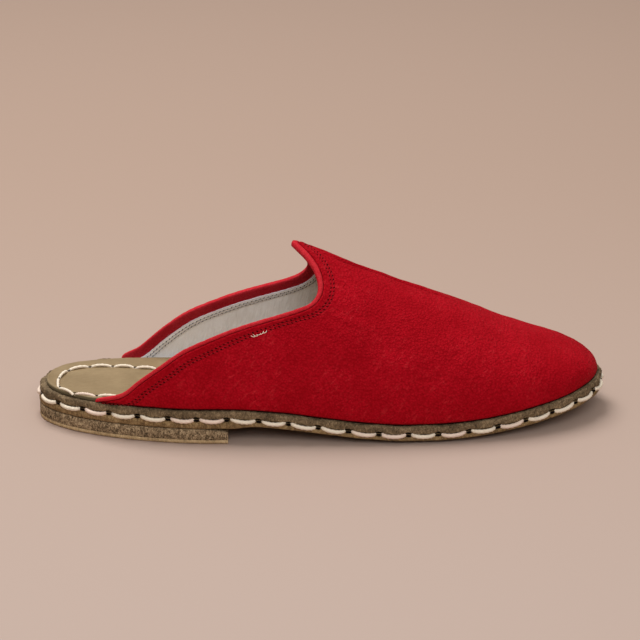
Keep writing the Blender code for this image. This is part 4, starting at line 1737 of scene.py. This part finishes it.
        ridge = np.exp(-(((beside - 1.9 * MM) / (1.1 * MM)) ** 2))
        height -= self.fold_depth * (trough - 0.6 * ridge) * span
        height -= self.foot_sink * (1 - smoothstep((points[..., 2] - last.feather(x)) / (1.7 * MM)))
        bulge = np.exp(-(((points[..., 2] - last.feather(x) - 7 * MM) / (5 * MM)) ** 2))
        uneven = 1 + ripple(points, 38 * MM, 64)
        height += self.foot_bulge * bulge * smoothstep((gap - 4 * MM) / (6 * MM)) * uneven * 0.5
        return height

    def toe_dip(self, x: Array, climb: Array) -> Array:
        """How deep the leather sinks over the toes."""
        dip = np.exp(-(((x / self.last.length - self.dip_at) / self.dip_width) ** 2))
        return self.dip * dip * smoothstep((climb - 1.2) / 0.6)

    def fold(self, x: Array, climb: Array, points: Array) -> tuple[Array, Array]:
        """How far points are beside the fold that runs along the crest, and how strong it is there."""
        along = x / self.last.length
        stations, places = zip(*self.fold_line)
        line = through(stations, np.array(places) * MM, along.ravel())
        span = smoothstep((along - 0.505) / 0.03) * (1 - smoothstep((along - 0.69) / 0.05))
        return points[..., 1] - line.reshape(x.shape), span * np.where(climb > 1.6, 1.0, 0.0)

    def _crease(self, crease: Crease, station: Array, over: Array) -> Array:
        """How much a crease shows at each point, from 0 to 1, with a low ridge on both of its sides."""
        scale = np.array([self.last.length, self.last.instep_height])
        start, end = np.array(crease.start) * scale, np.array(crease.end) * scale
        place = np.stack([station, over], axis=-1) * scale
        line = end - start
        share = np.clip(((place - start) @ line) / (line @ line), 0.0, 1.0)
        gap = np.linalg.norm(place - start - share[..., None] * line, axis=-1) / crease.width
        fade = np.sin(np.clip(share, 0.03, 0.97) * pi) ** 0.7
        return fade * (1 - 1.2 * gap**2) * np.exp(-(gap**2))

    def shell(self) -> None:
        """The outer leather with its relief, as one closed skin of its own thickness."""
        columns = self.columns((self.bead + self.groove) * self.bead_scale(self.collar.away))
        points, painted_shade_distances, faces = [], [], []
        total = 0
        last = self.last
        tip = np.array([last.toe_tip, last.toe_swing, last.feather(np.array(last.toe_tip))])
        for side in Side:
            x, climb = self.grid(side, columns[side], self.rows)
            skin = last.at(side, x, climb)
            outward = last.outward(side, x, climb)
            relief = self.relief(side, x, climb, skin)
            relief[:, -1] = np.minimum(relief[:, -1], -0.5 * MM)
            outer = skin + outward * relief[..., None]
            inner = skin - outward * (self.leather + self.toe_dip(x, climb))[..., None]
            inner[..., 2] = np.maximum(inner[..., 2], last.feather(inner[..., 0]))
            outer[..., 2] = np.maximum(outer[..., 2], last.feather(outer[..., 0]))
            faces += self._shell_faces(total, x.shape)
            ends = np.array([tip, tip - [self.leather, 0.0, 0.0]])
            points += [outer.reshape(-1, 3), inner.reshape(-1, 3), ends]
            # Painted shade: the stored distance is the height over the feather line, cut down beside the rim's
            # groove and along the crest fold, so that the finish paints shade there.
            painted_shade_distance = outer[..., 2] - last.feather(outer[..., 0])
            gap, away = self.nearest(skin)
            beyond = gap - (self.bead + self.groove) * self.bead_scale(away)
            painted_shade_distance = np.minimum(painted_shade_distance, 0.80 * MM + 1.6 * np.maximum(beyond, 0.0))
            beside, span = self.fold(x, climb, skin)
            painted_shade_distance = np.minimum(painted_shade_distance, 0.90 * MM + 0.8 * np.abs(beside) + 3.0 * MM * (1 - span))
            painted_shade_distances += [painted_shade_distance.ravel(), np.full(x.size, 0.01), np.array([0.0, 0.01])]
            total += 2 * x.size + 2
        values = {"painted_shade_distance": np.concatenate(painted_shade_distances)}
        thing = self.bench.piece("upper_leather", np.vstack(points), faces, NUBUCK, values)
        self.bench.finished(thing, "upper_nubuck", "upper")

    def _shell_faces(self, start: int, shape: tuple[int, int]) -> list[tuple[int, ...]]:
        """Faces of one side: outer and inner grid, both rims, the quarter's end and the toe."""
        columns, rows = shape
        size = columns * rows
        outer, inner = start, start + size
        faces = grid_faces(columns, rows, outer) + grid_faces(columns, rows, inner)
        peak = self.collar.last.collar_steps
        for column in range(columns - 1):
            low, high = column * rows, (column + 1) * rows
            faces.append((outer + low, outer + high, inner + high, inner + low))
            if column < peak:
                top = rows - 1
                faces.append((outer + low + top, outer + high + top, inner + high + top, inner + low + top))
        for row in range(rows - 1):
            faces.append((outer + row, outer + row + 1, inner + row + 1, inner + row))
        end = (columns - 1) * rows
        tips = (start + 2 * size, start + 2 * size + 1)
        for base, tip in ((outer, tips[0]), (inner, tips[1])):
            for row in range(rows - 1):
                faces.append((base + end + row, tip, base + end + row + 1))
        faces.append((outer + end, tips[0], tips[1], inner + end))
        return faces

    def lining(self) -> None:
        """The pale inner leather, which lies over the turned-in edge of the outer one."""
        columns = self.columns(self.lining_from)
        points, marks, faces = [], [], []
        total = 0
        last = self.last
        tip_x = last.toe_tip
        for side in Side:
            x, climb = self.grid(side, columns[side], 56)
            skin = last.at(side, x, climb)
            outward = last.outward(side, x, climb)
            gap = self.nearest(skin)[0]
            hidden = 1 - smoothstep((gap - self.facing_depth) / (0.7 * MM))
            inside = self.inside_height(side, x, climb, skin)
            behind = (-self.leather - 0.1 * MM) * (1 - hidden) + (self.facing_far - 0.06 * MM) * hidden
            taper = smoothstep((tip_x - x) / (14 * MM))
            dip = self.toe_dip(x, climb)
            near = skin + outward * (inside * taper - 1.4 * MM * (1 - taper) - dip)[..., None]
            far = skin + outward * (behind * taper - 1.3 * MM * (1 - taper) - dip)[..., None]
            for layer in (near, far):
                layer[..., 2] = np.maximum(layer[..., 2], last.feather(layer[..., 0]))
            tip = np.array([tip_x, last.toe_swing, last.feather(np.array(tip_x))])
            ends = np.array([tip - [1.5 * MM, 0.0, 0.0], tip - [1.35 * MM, 0.0, 0.0]])
            faces += self._shell_faces(total, x.shape)
            points += [near.reshape(-1, 3), far.reshape(-1, 3), ends]
            # The pale band along the lining's cut edge: partly its own colour, partly a painted highlight.
            edge = (1 - smoothstep((gap - self.lining_from - 0.05 * MM) / (0.45 * MM))).ravel()
            marks += [edge, edge, np.zeros(2)]
            total += 2 * x.size + 2
        values = {"pit": np.concatenate(marks)}
        thing = self.bench.piece("lining", np.vstack(points), faces, PALE_LINING, values)
        self.bench.finished(thing, "lining_leather")

    def binding(self) -> None:
        """The rolled edge over the rim and the facing that is turned in behind it."""
        last = self.last
        proud, near, far = self.bead_proud, self.facing_near, self.facing_far
        middle = far / 2
        profile = [
            (self.bead + 0.10 * MM, -0.75 * MM), (self.bead + 0.05 * MM, -0.10 * MM),
            (self.bead - 0.20 * MM, 0.62 * proud), (0.62 * self.bead, proud),
            (0.35 * self.bead, 0.80 * proud),
            (0.14 * self.bead, 0.15 * proud), (0.02 * self.bead, 0.25 * far), (0.0, middle),
            (0.02 * self.bead, 0.75 * far), (0.20 * self.bead, 0.93 * far), (0.60 * self.bead, far),
            (2.4 * MM, far - 0.10 * MM), (3.4 * MM, far - 0.06 * MM), (4.4 * MM, far),
            (self.facing_depth, far), (self.facing_depth, near), (4.0 * MM, near),
            (self.bead + 0.4 * MM, near), (self.bead + 0.1 * MM, near),
        ]
        wide = self.bead_scale(self.collar.away)
        lines = {
            distance: self.collar.inside(distance * wide if distance < 2.3 * MM else distance)
            for distance in {row[0] for row in profile}
        }
        count = len(self.collar.points)
        points = np.empty((len(profile), count, 3))
        painted_shade_distance = np.empty((len(profile), count))
        for ring, (distance, offset) in enumerate(profile):
            x, climb = lines[distance]
            for side in Side:
                mine = self.collar.on(side)
                skin = last.at(side, x[mine], climb[mine])
                points[ring, mine] = skin + last.outward(side, x[mine], climb[mine]) * offset
            wobble = 0.05 * MM * ripple(points[ring], 7 * MM, 81)
            points[ring, :, 2] += wobble if offset > near else 0.0
            points[ring, :, 2] = np.maximum(points[ring, :, 2], last.feather(points[ring, :, 0]))
            # Painted shade: the facing's rings get a small stored distance, so that the finish darkens the
            # turned-in facing inside the shoe.
            painted_shade_distance[ring] = self.facing_painted_shade_distance if offset < 1.2 * middle else 0.01
        faces = []
        for ring in range(len(profile)):
            after = (ring + 1) % len(profile)
            for column in range(count - 1):
                low, high = ring * count + column, after * count + column
                faces.append((low, low + 1, high + 1, high))
        for end in (0, count - 1):
            faces.append(tuple(ring * count + end for ring in range(len(profile))))
        values = {"painted_shade_distance": painted_shade_distance.ravel()}
        thing = self.bench.piece("collar_edge", points.reshape(-1, 3), faces, EDGE_NUBUCK, values)
        self.bench.finished(thing, "binding_leather", "collar_binding")

    def seams(self) -> None:
        """The double row of stitches round the collar, outside and inside."""
        outside = Stitches("collar_stitches", 1.55 * MM, 0.20 * MM, 0.10 * MM, 0.0, 0.25 * MM, steps=5,
                           twists=0.6, swing=14.0, seed=13)
        punched = Holes("collar_holes", 1.50 * MM, 0.66 * MM, 0.26 * MM, turn=-46.0, seed=14)
        inner = Holes("lining_holes", 1.20 * MM, 0.50 * MM, 0.20 * MM, turn=38.0, seed=15)
        outer, linings = [], []
        for usual in self.seam_rows:
            outer.append(self.collar.path(usual - self.drawn(self.collar.away), self.relief))
            linings.append(self._flipped(self.collar.path(usual, self.inside_height)))
        for name, tool, lines, shift, finish, slot in (
            ("collar_stitches", outside, outer, 0.5, RED_THREAD, "upper_thread"),
            ("collar_holes", punched, outer, 0.0, RED_HOLE, "upper_nubuck"),
            ("lining_stitches", outside, linings, 0.5, PALE_THREAD, "upper_thread"),
            ("lining_holes", inner, linings, 0.0, DARK_HOLE, "lining_leather"),
        ):
            rows = [line.spaced(self.seam_pitch, shift + 0.5 * row, 3 * MM) for row, line in enumerate(lines)]
            parts = ("points", "outward", "along")
            joined = Path(*(np.vstack([getattr(row, part) for row in rows]) for part in parts))
            self.bench.finished(tool.make(self.bench, name, joined, finish), slot)
        self.tack(outer[1])

    def tack(self, line: Path) -> None:
        """The white thread's loose end, caught in the outer row near the quarter."""
        lengths = line.lengths()
        near = np.flatnonzero(line.points[:, 1] < 0)
        start = lengths[near[np.abs(line.points[near, 0] - self.tack_x).argmin()]]
        places = line.read(start + np.array([-3.2, -2.0, -0.4, 1.1, 2.6]) * MM)
        loops = Stitches("tack_loops", 2.3 * MM, 0.17 * MM, 0.55 * MM, 0.6 * MM, 0.1 * MM, steps=8,
                         twists=1.0, swing=45.0, seed=17)
        self.bench.finished(loops.make(self.bench, "tack_loops", places, SOLE_THREAD), "upper_thread")

    @staticmethod
    def _flipped(path: Path) -> Path:
        """The same line seen from inside the shoe."""
        return Path(path.points, -path.outward)

    def build(self) -> None:
        """Makes every part of the upper."""
        self.shell()
        self.lining()
        self.binding()
        self.seams()


# The studio


@dataclass(frozen=True)
class Lamp:
    """A soft area light that points at the shoe."""

    name: str
    place: tuple[float, float, float]
    size: float
    power: float


@dataclass
class Studio:
    """Plain paper floor, soft light and the camera."""

    target: tuple[float, float, float] = (-0.0009, -0.00125, 0.0486)
    camera_from: tuple[float, float, float] = (-0.0269, -1.4001, 0.5376)
    lens: float = 171.3
    sensor: float = 36.0
    floor_size: float = 8.0
    ambient: Colour = (1.0, 0.965, 0.94)
    ambient_low: float = 0.05
    ambient_high: float = 0.44
    lamps: tuple[Lamp, ...] = (
        Lamp("overhead_lamp", (-0.35, 0.40, 1.45), 1.0, 17.5),
        Lamp("front_lamp", (0.20, -1.85, 1.50), 1.3, 18.5),
    )

    def floor(self) -> None:
        """The paper that the shoe stands on."""
        half = self.floor_size / 2
        mesh = bpy.data.meshes.new("paper_floor")
        corners = [(-half, -half, 0), (half, -half, 0), (half, half, 0), (-half, half, 0)]
        mesh.from_pydata(corners, [], [(0, 1, 2, 3)])
        mesh.materials.append(STUDIO_PAPER.material())
        linked("paper_floor", mesh)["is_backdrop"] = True

    def light(self) -> None:
        """Soft lamps and an even ambient light."""
        for lamp in self.lamps:
            data = bpy.data.lights.new(lamp.name, "AREA")
            data.shape = "DISK"
            data.size = lamp.size
            data.energy = lamp.power
            thing = linked(lamp.name, data)
            thing.location = lamp.place
            aim = Vector(self.target) - Vector(lamp.place)
            thing.rotation_euler = aim.to_track_quat("-Z", "Y").to_euler()
        world = bpy.data.worlds.new("studio_air")
        world.use_nodes = True
        graph = Graph(world.node_tree)
        direction = graph.add("ShaderNodeTexCoord")["Generated"]
        height = graph.add("ShaderNodeSeparateXYZ", None, {"Vector": direction})["Z"]
        strength = self.ambient_low + (self.ambient_high - self.ambient_low) * height.step(0.0, 0.7)
        background = world.node_tree.nodes["Background"]
        background.inputs["Color"].default_value = (*self.ambient, 1.0)
        world.node_tree.links.new(strength.socket, background.inputs["Strength"])
        bpy.context.scene.world = world

    def camera(self) -> None:
        """The camera at the photographed angle."""
        data = bpy.data.cameras.new("camera")
        data.lens = self.lens
        data.sensor_width = self.sensor
        data.clip_end = 50.0
        thing = linked("camera", data)
        offset = Vector(self.camera_from)
        thing.location = Vector(self.target) + offset
        thing.rotation_euler = (-offset).to_track_quat("-Z", "Y").to_euler()
        bpy.context.scene.camera = thing

    def build(self) -> None:
        """Sets up the whole studio."""
        self.floor()
        self.light()
        self.camera()
        bpy.context.scene.view_settings.view_transform = "Standard"


def main() -> None:
    """Builds the studio and the slipper, part by part."""
    logging.basicConfig(level=logging.INFO, format="%(message)s")
    solid_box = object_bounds()
    low, high = solid_box
    length, ball_width = high.x - low.x, high.y - low.y
    heel_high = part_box("heel_block")[1]
    heel_top = heel_high.z + Footprint.gap
    last = Last(length, ball_width, heel_length=heel_high.x - low.x, heel_top=heel_top)
    edge_y = last.edge(Side.MEDIAL, np.linspace(0.0, length, 4001)).max()
    bench = Bench(np.array([low.x, high.y - edge_y, 0.0]))
    Studio().build()
    SoleUnit(last, bench).build()
    Footbed(last, bench).build()
    UpperUnit(last, bench).build()


if __name__ == "__main__":
    main()
